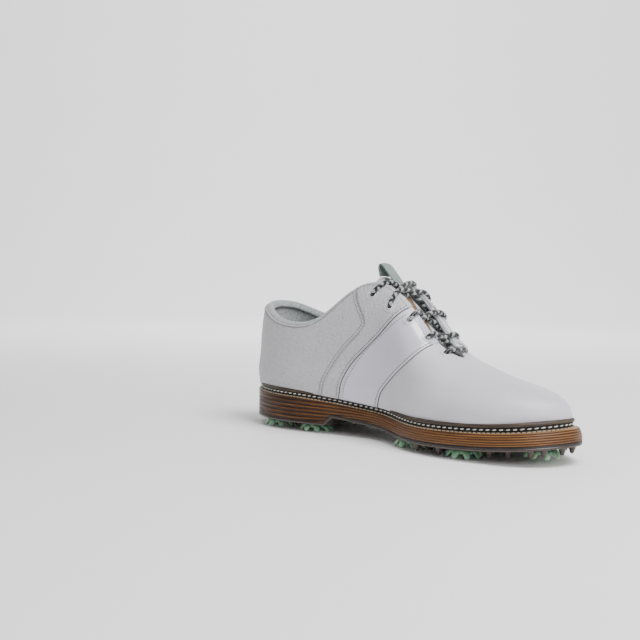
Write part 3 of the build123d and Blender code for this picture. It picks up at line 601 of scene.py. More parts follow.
WHITE = (0.56, 0.55, 0.6)
M = {
    "smooth": smooth_leather("leather_smooth", WHITE),
    "pebbled": pebbled_leather("leather_pebbled", (0.47, 0.46, 0.485)),
    "patent": patent_leather("leather_patent", (0.55, 0.54, 0.62)),
    # dark tubes at the panels' steps: partly their dark inked edges, partly painted shadow of the steps
    "edge_ink_and_shadow": smooth_leather("edge_ink_and_painted_shadow", (0.07, 0.07, 0.075), 0.55),
    "tongue": knit_lining("tongue_face", (0.56, 0.58, 0.6)),
    "brown": smooth_leather("leather_brown", (0.16, 0.085, 0.04), 0.5, 0.05),
    "lining": knit_lining("lining_knit", (0.36, 0.38, 0.39)),
    "ribbon": woven_cloth("ribbon_weave", (0.3, 0.37, 0.34), 0.55, 0.5),
    "lace": braided_lace("lace_braid"),
    "eyelet": moulded("eyelet_ring", (0.62, 0.63, 0.66), 0.4),
    "thread": thread_finish("thread_pale", (0.78, 0.76, 0.7)),
    "upper_thread": thread_finish("thread_grey", (0.13, 0.13, 0.14)),
    "ledge_thread": thread_finish("thread_bronze", (0.5, 0.42, 0.3)),
    "welt": welt_leather("welt_leather"),
    # near-black plugs in the eyelets and the cleats' key holes, and a sheet at the back of the welt's groove:
    # painted shade
    "groove": moulded("welt_groove", (0.012, 0.01, 0.009), 0.6),
    "wood": stacked_wood("stacked_sole"),
    "tread": moulded("tread_moulding", (0.04, 0.026, 0.02), 0.34, 0.02, Coat_Weight=0.15, Coat_Roughness=0.2),
    "insert": moulded("tread_insert", (0.42, 0.22, 0.085), 0.35, 0.03, Coat_Weight=0.2, Coat_Roughness=0.2),
    "badge": moulded("badge_moulding", (0.012, 0.012, 0.013), 0.15, 0.01, Coat_Weight=0.5,
                     Coat_Roughness=0.06),
    "rim": moulded("sole_rim", (0.008, 0.007, 0.007), 0.5, 0.02),
    "receptacle": moulded("receptacle_moulding", (0.05, 0.05, 0.05), 0.5),
    "cleat": moulded("cleat_moulding", (0.27, 0.5, 0.3), 0.36, 0.02, Subsurface_Weight=0.3,
                     Transmission_Weight=0.15, Coat_Weight=0.2, Coat_Roughness=0.15),
    "ray": moulded("cleat_ray", (0.72, 0.9, 0.8), 0.3, 0.02, Subsurface_Weight=0.2),
    "cork": cork_finish("cork_granules"),
    "steel": moulded("shank_steel", (0.4, 0.4, 0.42), 0.35, 0.02, Metallic=1.0),
    "board": moulded("fibre_board", (0.42, 0.32, 0.2), 0.8, 0.08),
}


# ------------------------------------------------------------------ upper: surface and its edges
def heel_reach():
    """x of the heel's back at each height."""
    xs = np.linspace(HEEL_TIP, -120, 400)
    tops = seam_z(xs) + rise(xs)
    return lambda z: np.interp(z, tops, xs)


heel_back = heel_reach()


def throat_tops(side):
    """Height of the eyestay's edge at each x, on one side."""
    xs = np.linspace(-60, THROAT_TIP, 260)
    low, high = seam_z(xs) + 2, seam_z(xs) + rise(xs)
    for _ in range(40):
        mid = (low + high) / 2
        wide = np.abs(by_height(xs, mid, side) - ridge_y(xs)) > throat_half(xs, side)
        low, high = np.where(wide, mid, low), np.where(wide, high, mid)
    return lambda x: np.interp(x, xs, low)


throat_top = {side: throat_tops(side) for side in (-1, 1)}
CORNER = 1.6


def top_edge(x, side):
    """Height of a side panel's upper edge: the collar, then the throat, with a rounded corner."""
    collar = np.where(np.asarray(x) > -3, 118 + 60 * (np.asarray(x) + 3) / 3, collar_z(np.minimum(x, -3)))
    throat = throat_top[side](x)
    return -CORNER * np.log(np.exp(-(collar - 100) / CORNER) + np.exp(-(throat - 100) / CORNER)) + 100


def edge_slope(name, z):
    """Sideways run of a side-view edge per unit of its length across."""
    step = 0.5
    return np.sqrt(1 + ((edge_x[name](z + step) - edge_x[name](z - step)) / (2 * step)) ** 2)


def wall_points(x, z, side):
    return np.stack([x, by_height(x, z, side), z], -1)


EDGE_STEPS = [0, 0.12, 0.35, 0.7, 1.2, 1.7, 2.1, 2.4, 2.7, 3.1, 3.8, 4.8, 6.0]
OVERLAP = 1.2          # how far panels run down behind the welt


def spread(width, count, both=True):
    """Fractions from one edge to the other, close together near the edges."""
    steps = np.array(EDGE_STEPS) * min(1.0, width / (2.2 * EDGE_STEPS[-1]))
    middle = np.linspace(steps[-1], width - (steps[-1] if both else 0), count)
    last = (width - steps[::-1])[1:] if both else []
    return np.concatenate([steps[:-1], middle, last]) / width


def side_panel(side, back, front, width, count, rows):
    """Surface grid of a side panel between two side-view edges; back None is the heel's middle."""
    up = 1 - spread(70, rows, False)[::-1]
    if back is None:
        across = np.concatenate([(np.linspace(0, 1, count) ** 2) * (1 - 6.0 / width),
                                 1 - np.array(EDGE_STEPS[:-1])[::-1] / width])
    else:
        across = spread(width, count)
    v, f = np.meshgrid(up, across, indexing="ij")
    x = np.full(v.shape, -60.0 if back is None else 0.0)
    for _ in range(60):
        bottom = seam_z(x) - OVERLAP
        z = bottom + v * (top_edge(x, side) - bottom)
        start = heel_back(z) if back is None else edge_x[back](z)
        x = 0.5 * x + 0.5 * (start + f * (edge_x[front](z) - start))
    return wall_points(x, z, side)


def outward(points):
    """Rough outward direction of points of the upper."""
    centre = np.stack([np.clip(points[..., 0], -105, 105), np.full(points.shape[:-1], -4.0),
                       np.full(points.shape[:-1], 45.0)], -1)
    return points - centre


LINE_COUNT = 160


def edge_line(name, side, inset, z_from=None):
    """Line on the upper that follows a side-view edge, inset behind it, with its normals."""
    zs = np.linspace(20, 124, 900)
    xs = edge_x[name](zs) - inset * edge_slope(name, zs)
    keep = (zs > seam_z(xs) - 1 if z_from is None else zs > z_from) & (zs < top_edge(xs, side) - 1.6)
    return with_normals(xs[keep], zs[keep], side, LINE_COUNT)


def top_line(side, x_from, x_to, drop, count=LINE_COUNT):
    """Line on the upper that follows the collar and the throat, drop below their edge."""
    xs = np.linspace(x_from, x_to, count * 3)
    z = top_edge(xs, side)
    slope = np.gradient(z, xs)
    return with_normals(xs, z - drop * np.sqrt(1 + slope ** 2), side, count)


def with_normals(xs, zs, side, count):
    at = np.linspace(0, len(xs) - 1, count)
    xs, zs = np.interp(at, np.arange(len(xs)), xs), np.interp(at, np.arange(len(zs)), zs)
    line = wall_points(xs, zs, side)
    step = 0.4
    along_x = wall_points(xs + step, zs, side) - wall_points(xs - step, zs, side)
    along_z = wall_points(xs, zs + step, side) - wall_points(xs, zs - step, side)
    normal = np.cross(along_x, along_z)
    normal /= np.linalg.norm(normal, axis=1, keepdims=True)
    normal *= np.sign(np.sum(normal * outward(line), 1))[:, None]
    return line, normal


def rounded(distance, radius=0.8):
    """How far a turned edge drops, by distance from the edge."""
    near = np.clip(1 - distance / radius, 0, 1)
    return radius * 0.8 * (1 - np.sqrt(1 - near ** 2 * 0.98))


def channel(distance, at, deep=0.22, wide=0.55):
    """The furrow that a row of stitches pulls into leather."""
    return deep * np.exp(-((distance - at) / wide) ** 2)


STITCH_IN, SECOND_ROW = 1.7, 2.2
LIFT = {"vamp": 0.0, "saddle": 1.1, "strip": 0.5, "eyestay": 1.6, "quarter": 0.8}
THICK = 2.4
EDGE_R = {"quarter": 0.32, "eyestay": 0.48, "strip": 0.22, "saddle": 0.4}
PANELS = [
    # piece, back edge, front edge, width, columns, finish, slot
    ("quarter", None, "quarter", 110, 70, "pebbled", "leather_pebbled"),
    ("eyestay", "quarter", "eyestay", 24, 12, "pebbled", "leather_pebbled"),
    ("strip", "eyestay", "strip", 5.5, 3, "smooth", "leather_smooth"),
    ("saddle", "strip", "saddle", 34, 26, "patent", "leather_patent"),
]
NODE_NAMES = {"quarter": "quarter", "eyestay": "eyestay", "strip": "side_strip", "saddle": "saddle"}
SIDE_NAMES = {-1: "medial", 1: "lateral"}


def build_side_panels():
    for kind, back, front, width, count, finish, slot in PANELS:
        for side in (-1, 1):
            surface = side_panel(side, back, front, width, count, 40)
            normal = grid_normals(surface, outward(surface))
            front_line = edge_line(front, side, 0, 18)[0]
            top_at = top_line(side, -149 if back is None else -60, 47, 0, 500)[0]
            from_front, from_top = nearest(surface, front_line), nearest(surface, top_at)
            out = LIFT[kind] - rounded(from_top, 1.0) - rounded(from_front)
            out -= channel(from_top, STITCH_IN)
            out -= channel(from_front, STITCH_IN) if kind in ("quarter", "eyestay", "saddle") else 0
            if kind == "quarter":
                out -= channel(from_front, STITCH_IN + SECOND_ROW)
            if back is not None:
                out -= rounded(nearest(surface, edge_line(back, side, 0, 18)[0]), 0.5)
            name = f"{NODE_NAMES[kind]}_{SIDE_NAMES[side]}"
            piece = slab(f"{name}_leather", surface, normal, out, THICK)
            wear(piece, M[finish], hides=[name])


def vamp_turns():
    """Turns across the vamp, close together near the ridge."""
    ridge_turns = np.pi / 2 + np.linspace(-0.42, 0.42, 61)
    side = np.pi / 2 * (1 - np.cos(np.linspace(0, np.pi / 2, 52)))
    low = side[side < ridge_turns[0] - 0.02]
    return np.concatenate([low, ridge_turns, np.pi - low[::-1]])


def vamp_back(turns):
    """Where the vamp starts on each line of equal turn."""
    xs = np.linspace(-12, THROAT_TIP, 900)
    x, turn = np.meshgrid(xs, turns, indexing="ij")
    y, z = by_turn(x, turn)
    across = y - ridge_y(x)
    inside = (x >= edge_x["saddle"](np.clip(z, 14, 92))) & (np.abs(across) >= throat_half(x, across))
    fails = np.where(inside, -12, x)
    return fails.max(0)


def build_vamp():
    turns = vamp_turns()
    start = vamp_back(turns)
    rows = [start + distance for distance in EDGE_STEPS]
    first = rows[-1]
    for share in np.linspace(0, 1, 74)[1:]:
        rows.append(TOE_TIP - (TOE_TIP - first) * (1 - share) ** 1.7)
    x = np.array(rows)
    turn = np.broadcast_to(turns, x.shape)
    y, z = by_turn(x, turn)
    surface = np.stack([x, y, z], -1)
    surface[:, 0, 2] -= OVERLAP
    surface[:, -1, 2] -= OVERLAP
    normal = grid_normals(surface, outward(surface))
    normal[-1] = (1, 0, 0.2)
    edge = surface[0]
    off_ridge = edge[:, 1] - ridge_y(edge[:, 0])
    throat_edge = edge[np.abs(off_ridge) < throat_half(edge[:, 0], off_ridge) + 0.6]
    from_throat = nearest(surface, throat_edge)
    out = LIFT["vamp"] - rounded(from_throat, 1.0) - channel(from_throat, STITCH_IN)
    piece = slab("vamp_leather", surface, normal, out, THICK)
    wear(piece, M["smooth"], hides=["vamp", "vamp_backing", "toe_puff"])


def build_edges():
    """Dark tube at the foot of each panel's step: partly the panel's dark inked edge, partly painted shadow of
    the step.
    """
    order = ["quarter", "eyestay", "strip", "saddle", "vamp"]
    for kind, below in zip(order, order[1:]):
        for side in (-1, 1):
            line, normal = edge_line(kind, side, -0.2)
            level = min(LIFT[kind], LIFT[below]) + 0.05
            edge_ink_and_shadow_tube = tube(f"{kind}_edge_{SIDE_NAMES[side]}", line + normal * level, EDGE_R[kind], 8)
            wear(edge_ink_and_shadow_tube, M["edge_ink_and_shadow"])


def build_upper_stitches():
    rows = []
    for side in (-1, 1):
        for kind, inset in (("quarter", STITCH_IN), ("quarter", STITCH_IN + SECOND_ROW),
                            ("eyestay", STITCH_IN), ("saddle", STITCH_IN)):
            line, normal = edge_line(kind, side, inset)
            rows.append((line + normal * LIFT[kind], normal))
        line, normal = edge_line("strip", side, -STITCH_IN + 0.6)
        rows.append((line + normal * LIFT["saddle"], normal))
        for x_from, x_to, kind in ((-146, -33, "quarter"), (-30, 13, "eyestay"), (18, 40, "saddle")):
            line, normal = top_line(side, x_from, x_to, STITCH_IN)
            rows.append((line + normal * LIFT[kind], normal))
    piece = stitches("upper_stitching", rows, 2.5, 1.75, 0.24)
    wear(piece, M["upper_thread"])


# ------------------------------------------------------------------ heel strip, collar and linings
BACKSTAY_HALF = 7.5


def build_backstay():
    w = np.linspace(-BACKSTAY_HALF, BACKSTAY_HALF, 21)
    v = np.linspace(0, 1, 60)
    up, wide = np.meshgrid(v, w, indexing="ij")
    x = np.full(up.shape, HEEL_TIP)
    for _ in range(8):
        bottom = seam_z(x) - OVERLAP
        z = bottom + up * (top_edge(x, -1) - bottom)
        low, high = heel_back(z), np.full(z.shape, -125.0)
        for _ in range(30):
            mid = (low + high) / 2
            y = np.where(wide < 0, by_height(mid, z, -1), by_height(mid, z, 1))
            short = np.abs(y + 1.5) < np.abs(wide)
            low, high = np.where(short, mid, low), np.where(short, high, mid)
        x = (low + high) / 2
    surface = np.stack([x, wide - 1.5, z], -1)
    normal = grid_normals(surface, outward(surface))
    from_edge = BACKSTAY_HALF - np.abs(wide)
    from_top = (z.max(0)[None] - z)
    out = 1.9 - rounded(from_edge) - rounded(from_top, 1.0) - channel(from_edge, 1.8)
    piece = slab("backstay_leather", surface, normal, out, THICK)
    wear(piece, M["smooth"], hides=["backstay"])
    rows = []
    for column in (3, -4):
        rows.append((surface[:-2, column] + normal[:-2, column] * 1.85, normal[:-2, column]))
    wear(stitches("backstay_stitching", rows, 2.5, 1.7, 0.22), M["upper_thread"])


def whole_wall(rows, count, front):
    """Outer surface of both sides in one grid, from the medial front round the heel."""
    edge_x["inside_front"] = Smooth([0, 240], [front, front])
    medial = side_panel(-1, None, "inside_front", front - HEEL_TIP, count, rows)
    lateral = side_panel(1, None, "inside_front", front - HEEL_TIP, count, rows)
    return np.concatenate([medial[:, ::-1], lateral[:, 1:]], axis=1)


# roll of the padded collar: how deep inside the outer face, and how far above its edge
ROLL = [(1.1, -1.0), (1.3, 0.5), (2.1, 1.6), (3.4, 2.3), (4.9, 2.1), (6.2, 1.1), (7.0, -0.6), (7.4, -3.0)]
WALL_DEPTH = 6.3


def build_collar_lining():
    wall = whole_wall(34, 84, 44.0)
    normal = grid_normals(wall, outward(wall))
    edge, edge_normal = wall[-1], normal[-1]
    rise_way = wall[-1] - wall[-4]
    rise_way -= edge_normal * np.sum(rise_way * edge_normal, 1, keepdims=True)
    rise_way /= np.linalg.norm(rise_way, axis=1, keepdims=True)
    padding = 1 / (1 + np.exp((edge[:, 0] + 24) / 5.0))
    rows = []
    for deep, above in ROLL:
        depth = 1.2 + (deep - 1.1) * (0.28 + 0.72 * padding)
        lift = above * (0.35 + 0.65 * padding)
        rows.append(edge - edge_normal * depth[:, None] + rise_way * lift[:, None])
    down, down_normal = wall[:-3][::-1], normal[:-3][::-1]
    depth_end = 1.2 + (WALL_DEPTH - 1.1) * (0.35 + 0.65 * padding)
    for share, line, across in zip(np.linspace(0, 1, len(down)), down, down_normal):
        depth = depth_end * (1 - share) + WALL_DEPTH * share
        rows.append(line - across * depth[:, None])
    surface = np.array(rows)
    piece_normal = grid_normals(surface, -outward(surface))
    piece = slab("collar_lining", surface, piece_normal, np.zeros(surface.shape[:2]), 0.8)
    wear(piece, M["lining"], hides=["quarter_foam", "quarter_lining", "heel_counter"])
    middle = slice(4, -4)
    line = surface[1][middle] - edge_normal[middle] * 0.1
    ring = stitches("collar_stitching", [(line, rise_way[middle])], 2.6, 1.8, 0.22)
    wear(ring, M["upper_thread"])


def build_vamp_lining():
    turns = np.linspace(0.12, np.pi - 0.12, 60)
    xs = np.linspace(49, 132, 40)
    x, turn = np.meshgrid(xs, turns, indexing="ij")
    y, z = by_turn(x, turn)
    surface = np.stack([x, y, z], -1)
    normal = grid_normals(surface, outward(surface))
    hole = np.abs(y - ridge_y(x)) < throat_half(x, y - ridge_y(x)) + 12
    points = (surface - normal * 3.6).reshape(-1, 3)
    back = points - normal.reshape(-1, 3) * 0.7
    clear = (~hole).ravel()
    faces = [f for f in quads(*hole.shape) if clear[f].all()]
    count = len(points)
    edges = [edge for f in faces for edge in zip(f, f[1:] + f[:1])]
    known = set(edges)
    rim = [(a, b) for a, b in edges if (b, a) not in known]
    all_faces = faces + [[i + count for i in f[::-1]] for f in faces]
    all_faces += [[b, a, a + count, b + count] for a, b in rim]
    used = sorted({i for f in all_faces for i in f})
    where = {i: k for k, i in enumerate(used)}
    both = np.concatenate([points, back])[used]
    piece = make_mesh("vamp_inside", both, [[where[i] for i in f] for f in all_faces])
    wear(piece, M["lining"], hides=["vamp_lining"])


def build_sockliner():
    xs = np.linspace(-139, 127, 120)
    share = np.linspace(-1, 1, 41)
    x, s = np.meshgrid(xs, share, indexing="ij")
    half = np.maximum(half_width(x) - 7.0, half_width(x) * 0.35)
    y = middle_y(x) + s * half
    z = seam_z(x) + 6.4 + 2.4 * np.abs(s) ** 4
    surface = np.stack([x, y, z], -1)
    normal = grid_normals(surface, np.array([0, 0, 1.0]))
    piece = slab("sockliner_cushion", surface, normal, -0.6 * np.abs(s) ** 12, 3.8)
    wear(piece, M["lining"], hides=["sockliner"])


# ------------------------------------------------------------------ tongue, its strip and the pull loop
TONGUE_SIDE = [(-50, 30), (0, 27), (40, 20), (58, 14)]
TONGUE_TOP, TONGUE_FRONT, TONGUE_DEPTH, TONGUE_THICK = -20.5, 58.0, 7.6, 5.6
tongue_half = table(TONGUE_SIDE)


def tongue_surface(shares, runs, half_wide=None, top=TONGUE_TOP, front=TONGUE_FRONT):
    """Outer face of the upper's form over the tongue: points, outward normals, shares and stations.

    half_wide is an even half width, in place of the tongue's own.
    """
    fine = np.linspace(0.12, np.pi - 0.12, 900)
    s, r = np.meshgrid(shares, runs, indexing="xy")
    rounded_top = top - 6.5 * s ** 2
    x = rounded_top + r * (front - rounded_top)
    if half_wide is None:
        half = tongue_half(x) * (1 - 0.14 * np.clip((x + 32) / 12, 0, 1))
    else:
        half = np.full(x.shape, half_wide)
    y = ridge_y(x) + s * half

    def height(px, py):
        out = np.empty(px.shape)
        for i in np.ndindex(px.shape):
            yy, zz = by_turn(np.full(fine.shape, px[i]), fine)
            out[i] = np.interp(py[i], yy, zz)
        return out

    z = height(x, y)
    surface = np.stack([x, y, z], -1)
    return surface, grid_normals(surface, np.array([0, 0, 1.0])), s, x


def tongue_out(x, s):
    """Height of the tongue's face against the upper's outer face: padded between the eyestays."""
    crown = np.clip(1 - (np.abs(s) / 0.62) ** 2, 0, 1)
    ripple = 0.28 * np.sin(x * 0.36) * crown
    return -TONGUE_DEPTH + 0.7 * crown ** 0.7 + ripple


def build_tongue():
    shares = np.sin(np.linspace(-np.pi / 2, np.pi / 2, 61))
    ends = np.array([0, 0.004, 0.011, 0.02, 0.034, 0.05])
    runs = np.concatenate([ends, np.linspace(0.07, 0.93, 64), 1 - ends[::-1]])
    surface, normal, s, x = tongue_surface(shares, runs)
    from_side = (1 - np.abs(s)) * tongue_half(x)
    from_top = np.broadcast_to(runs[:, None] * (TONGUE_FRONT - TONGUE_TOP), s.shape)
    edge = np.minimum(from_side, from_top)
    round_off = np.sqrt(np.clip(1 - np.clip(1 - edge / 3.0, 0, 1) ** 2, 0.02, 1))
    middle = tongue_out(x, s) - TONGUE_THICK / 2
    seam = channel(from_top, 6.5, 0.5, 0.9) + channel(from_side, 5.0, 0.4, 0.9)
    out = middle + TONGUE_THICK / 2 * round_off - seam
    piece = slab("tongue_pad", surface, normal, out, TONGUE_THICK * round_off)
    wear(piece, M["tongue"], hides=["tongue_outer", "tongue_foam", "tongue_lining"])
    at = int(np.argmin(np.abs(from_top[:, 0] - 6.5)))
    face = surface + normal * (middle + TONGUE_THICK / 2 - 0.15)[..., None]
    rows = [(face[at, 8:-8], normal[at, 8:-8])]
    wear(stitches("tongue_stitching", rows, 2.6, 1.8, 0.24), M["upper_thread"])


STRIP_HALF = 4.2


def build_tongue_strip():
    shares, runs = np.linspace(-1, 1, 15), np.linspace(0, 1, 90)
    surface, normal, s, x = tongue_surface(shares, runs, half_wide=STRIP_HALF, top=2.0, front=54.0)
    wide = s * STRIP_HALF / tongue_half(x)
    edge = (1 - np.abs(s)) * STRIP_HALF
    out = tongue_out(x, wide) + 1.0 - rounded(edge, 0.7)
    piece = slab("tongue_strip_leather", surface, normal, out, 1.4)
    wear(piece, M["brown"], hides=["tongue_strip"])
    face = surface + normal * out[..., None]
    rows = [(face[:, column], normal[:, column]) for column in (2, -3)]
    wear(stitches("tongue_strip_stitching", rows, 2.2, 1.5, 0.18), M["upper_thread"])


TAB_WIDE, TAB_THICK = 11.0, 1.0
# side view of the loop: x and height above the tongue strip
TAB_LOOP = [(3, 0.9), (-2, 1.2), (-7, 2.4), (-12, 4.6), (-17, 7.2), (-20.5, 8.8), (-22.8, 8.6), (-23.9, 6.0),
            (-23.2, 2.5), (-22.4, -1.0)]


def build_pull_tab():
    line = np.array([(x, float(seam_z(x) + rise(x)) - TONGUE_DEPTH + 1.0 + lift) for x, lift in TAB_LOOP])
    run = np.concatenate([[0], np.cumsum(np.hypot(*np.diff(line, axis=0).T))])
    fine = np.linspace(0, run[-1], 90)
    px, pz = Smooth(run, line[:, 0])(fine), Smooth(run, line[:, 1])(fine)
    across = np.linspace(-1, 1, 13)
    r, s = np.meshgrid(np.arange(len(fine)), across, indexing="ij")
    x, z = px[r], pz[r] - 0.7 * s ** 2
    y = float(ridge_y(-12.0)) + s * TAB_WIDE / 2 + 0.6 * np.sin(r / 40)
    surface = np.stack([x, y, z], -1)
    normal = grid_normals(surface, surface - np.array([-14.0, -4.0, 116.0]))
    piece = slab("pull_loop", surface, normal, np.full(x.shape, TAB_THICK / 2), TAB_THICK)
    wear(piece, M["ribbon"], hides=["pull_tab"])


# ------------------------------------------------------------------ eyelets and lace
LACE_R = 1.75
LACE_UNDER, LACE_OVER, EDGE_OVER = -3.6, 3.3, 3.5
CROSS_LOW, CROSS_HIGH = -4.2, -0.6
# shares of the way to the next row up: where a strand leaves its facing, crosses and meets the other facing
LOWER_ROWS, TOP_ROW = (0.72, 0.88, 1.0), (0.1, 0.2, 0.6)


def surface_point(x, y):
    """Point of the upper's outer face above (x, y), and its normal."""
    fine = np.linspace(0.12, np.pi - 0.12, 900)

    def z(px, py):
        yy, zz = by_turn(np.full(fine.shape, px), fine)
        return float(np.interp(py, yy, zz))

    step = 1.2
    slope_x = (z(x + step, y) - z(x - step, y)) / (2 * step)
    slope_y = (z(x, y + step) - z(x, y - step)) / (2 * step)
    normal = np.array([-slope_x, -slope_y, 1.0])
    return np.array([x, y, z(x, y)]), normal / np.linalg.norm(normal)


def off_face(x, y, out):
    point, normal = surface_point(x, y)
    return point + normal * out


def facing(side, x, beyond):
    """Place on a facing, beyond the throat's edge."""
    return x, float(ridge_y(x)) + side * (float(throat_half(x, side)) + beyond)


def strand(first_side, cross):
    """One end of the lace, from the lowest eyelet up to where it is tucked in."""
    side, rows = first_side, EYELET_X[::-1]
    points = [off_face(*facing(side, rows[0], EYELETS[rows[0]]), LACE_UNDER)]
    for below, above in zip(rows, rows[1:]):
        leave, cross_at, arrive = TOP_ROW if above == rows[-1] else LOWER_ROWS
        step = above - below
        middle = below + cross_at * step
        points += [
            off_face(*facing(side, below + leave * step / 2, 2.6), LACE_UNDER),
            off_face(*facing(side, below + leave * step, -0.5), LACE_UNDER),
            off_face(middle, float(ridge_y(middle)), cross),
            off_face(*facing(-side, below + arrive * step, -0.5), EDGE_OVER),
            off_face(*facing(-side, above, EYELETS[above]), LACE_OVER),
            off_face(*facing(-side, above, EYELETS[above]), LACE_UNDER),
        ]
        side = -side
    return points + [off_face(*facing(side, rows[-1] - 10, EYELETS[rows[-1]]), LACE_UNDER)]


def nurbs_line(route):
    """Points along a smooth curve whose control points are the route."""
    data = bpy.data.curves.new("route", "CURVE")
    data.dimensions = "3D"
    spline = data.splines.new("NURBS")
    spline.points.add(len(route) - 1)
    for point, place in zip(spline.points, route):
        point.co = (*(np.asarray(place) * MM), 1)
    spline.order_u, spline.use_endpoint_u, spline.resolution_u = 3, True, 14
    holder = bpy.data.objects.new("route", data)
    bpy.context.scene.collection.objects.link(holder)
    mesh = bpy.data.meshes.new_from_object(holder)
    line = np.array([v.co[:] for v in mesh.vertices]) / MM
    bpy.data.objects.remove(holder)
    bpy.data.meshes.remove(mesh)
    keep = np.concatenate([[True], np.linalg.norm(np.diff(line, axis=0), axis=1) > 1e-3])
    return line[keep]


def build_lace():
    lowest = EYELET_X[-1]
    bar = [off_face(*facing(-1, lowest, EYELETS[lowest]), LACE_OVER - 0.6),
           off_face(lowest + 1.5, float(ridge_y(lowest)), LACE_OVER - 0.2),
           off_face(*facing(1, lowest, EYELETS[lowest]), LACE_OVER - 0.6)]
    route = strand(-1, CROSS_LOW)[::-1] + bar + strand(1, CROSS_HIGH)
    line = nurbs_line(route)
    spots = resample(line, 0.42)[0]

    def braid(run, turn):
        one = np.sin(2 * np.pi * run / BRAID + 3 * turn)
        two = np.sin(2 * np.pi * run / BRAID - 3 * turn)
        return 0.11 * np.maximum(one, two) + 0.03 * np.sin(run * 9.0 + 5 * turn)

    piece = tube("lace_cord", spots, LACE_R, 18, 1.12, bump=braid)
    wear(piece, M["lace"], hides=["lace"])


# how far each row's eyelets stand out, from the top row down
EYELET_LIFT = [1.5, 1.5, 1.0, 1.0, 0.0]
# pressed ring round an eyelet and its rolled lip: radius, radius of its section, and its height
EYELET_RINGS = [(4.3, 0.32, 0.02), (2.55, 0.45, 0.1)]
RING_STEPS, SECTION_STEPS = 40, 8
HOLE_R, HOLE_STEPS, HOLE_LEVELS = 2.3, 32, (0.16, -0.6)


def build_eyelets():
    points, faces, dark_points, dark_faces = [], [], [], []
    for side in (-1, 1):
        for x, lift in zip(EYELET_X, EYELET_LIFT):
            centre, normal = surface_point(*facing(side, x, EYELETS[x]))
            centre = centre + normal * lift
            a = np.cross(normal, [0, 1.0, 0])
            a /= np.linalg.norm(a)
            b = np.cross(normal, a)
            for radius, tube_r, height in EYELET_RINGS:
                start = len(points)
                for i in range(RING_STEPS):
                    turn = 2 * math.pi * i / RING_STEPS
                    way = a * math.cos(turn) + b * math.sin(turn)
                    for j in range(SECTION_STEPS):
                        roll = 2 * math.pi * j / SECTION_STEPS
                        out, up = radius + tube_r * math.cos(roll), tube_r * math.sin(roll) + height
                        points.append(centre + way * out + normal * up)
                faces += quads(RING_STEPS, SECTION_STEPS, start, True, True)
            # dark plug in the eyelet's opening: painted shade of the hole
            start = len(dark_points)
            for level in HOLE_LEVELS:
                for i in range(HOLE_STEPS):
                    turn = 2 * math.pi * i / HOLE_STEPS
                    way = a * math.cos(turn) + b * math.sin(turn)
                    dark_points.append(centre + way * HOLE_R + normal * level)
            dark_faces += quads(2, HOLE_STEPS, start, False, True)
            dark_faces.append([start + i for i in range(HOLE_STEPS)])
            dark_faces.append([start + HOLE_STEPS + i for i in range(HOLE_STEPS)][::-1])
    wear(make_mesh("eyelet_rings", points, faces), M["eyelet"], hides=["eyelets"])
    wear(make_mesh("eyelet_holes", dark_points, dark_faces), M["groove"])


# ------------------------------------------------------------------ sole
RING = 560
plan_closed = np.array(SOLE_PLAN * 3 + SOLE_PLAN[:1], float)
plan_run = np.concatenate([[0], np.cumsum(np.hypot(*np.diff(plan_closed, axis=0).T))])
plan_x, plan_y = Smooth(plan_run, plan_closed[:, 0]), Smooth(plan_run, plan_closed[:, 1])
PLAN_LENGTH = plan_run[len(SOLE_PLAN)]
ring_at = PLAN_LENGTH + PLAN_LENGTH * np.arange(RING) / RING
plan = np.stack([plan_x(ring_at), plan_y(ring_at)], -1)
plan_way = np.roll(plan, -1, 0) - np.roll(plan, 1, 0)
plan_way /= np.linalg.norm(plan_way, axis=1, keepdims=True)
plan_in = np.stack([-plan_way[:, 1], plan_way[:, 0]], -1)      # towards the inside of the outline
ring_run = PLAN_LENGTH * np.arange(RING) / RING
heel_end, toe_end = int(np.argmin(plan[:, 0])), int(np.argmax(plan[:, 0]))


def plan_side(side):
    """y of the sole's outline at each x, on one side."""
    branch = np.roll(plan, -heel_end, 0)
    stop = (toe_end - heel_end) % RING
    part = branch[:stop + 1] if side < 0 else np.concatenate([branch[stop:], branch[:1]])[::-1]
    return lambda x: np.interp(x, part[:, 0], part[:, 1])


medial_side, lateral_side = plan_side(-1), plan_side(1)


def ring_points(inset, height):
    """Points round the sole, moved in by inset and at heights above the seam's curve."""
    at = plan + plan_in * np.asarray(inset)[..., None] * np.ones((RING, 1))
    return np.stack([at[:, 0], at[:, 1], seam_z(plan[:, 0]) + height], -1)


def swept_ring(name, profile):
    """Closed ring round the sole; the profile lists (inset, height) loops, each a number or an array."""
    rows = [ring_points(inset, height) for inset, height in profile]
    points = np.array(rows)
    count = len(rows)
    up = points[..., 2] - seam_z(plan[:, 0])[None]
    uv = np.stack([np.broadcast_to(ring_run, up.shape), up], -1).reshape(-1, 2) * MM
    faces = quads(count, RING, 0, True, True)
    return make_mesh(name, points.reshape(-1, 3), faces, uv)


welt_in = welt_inset(plan[:, 0])


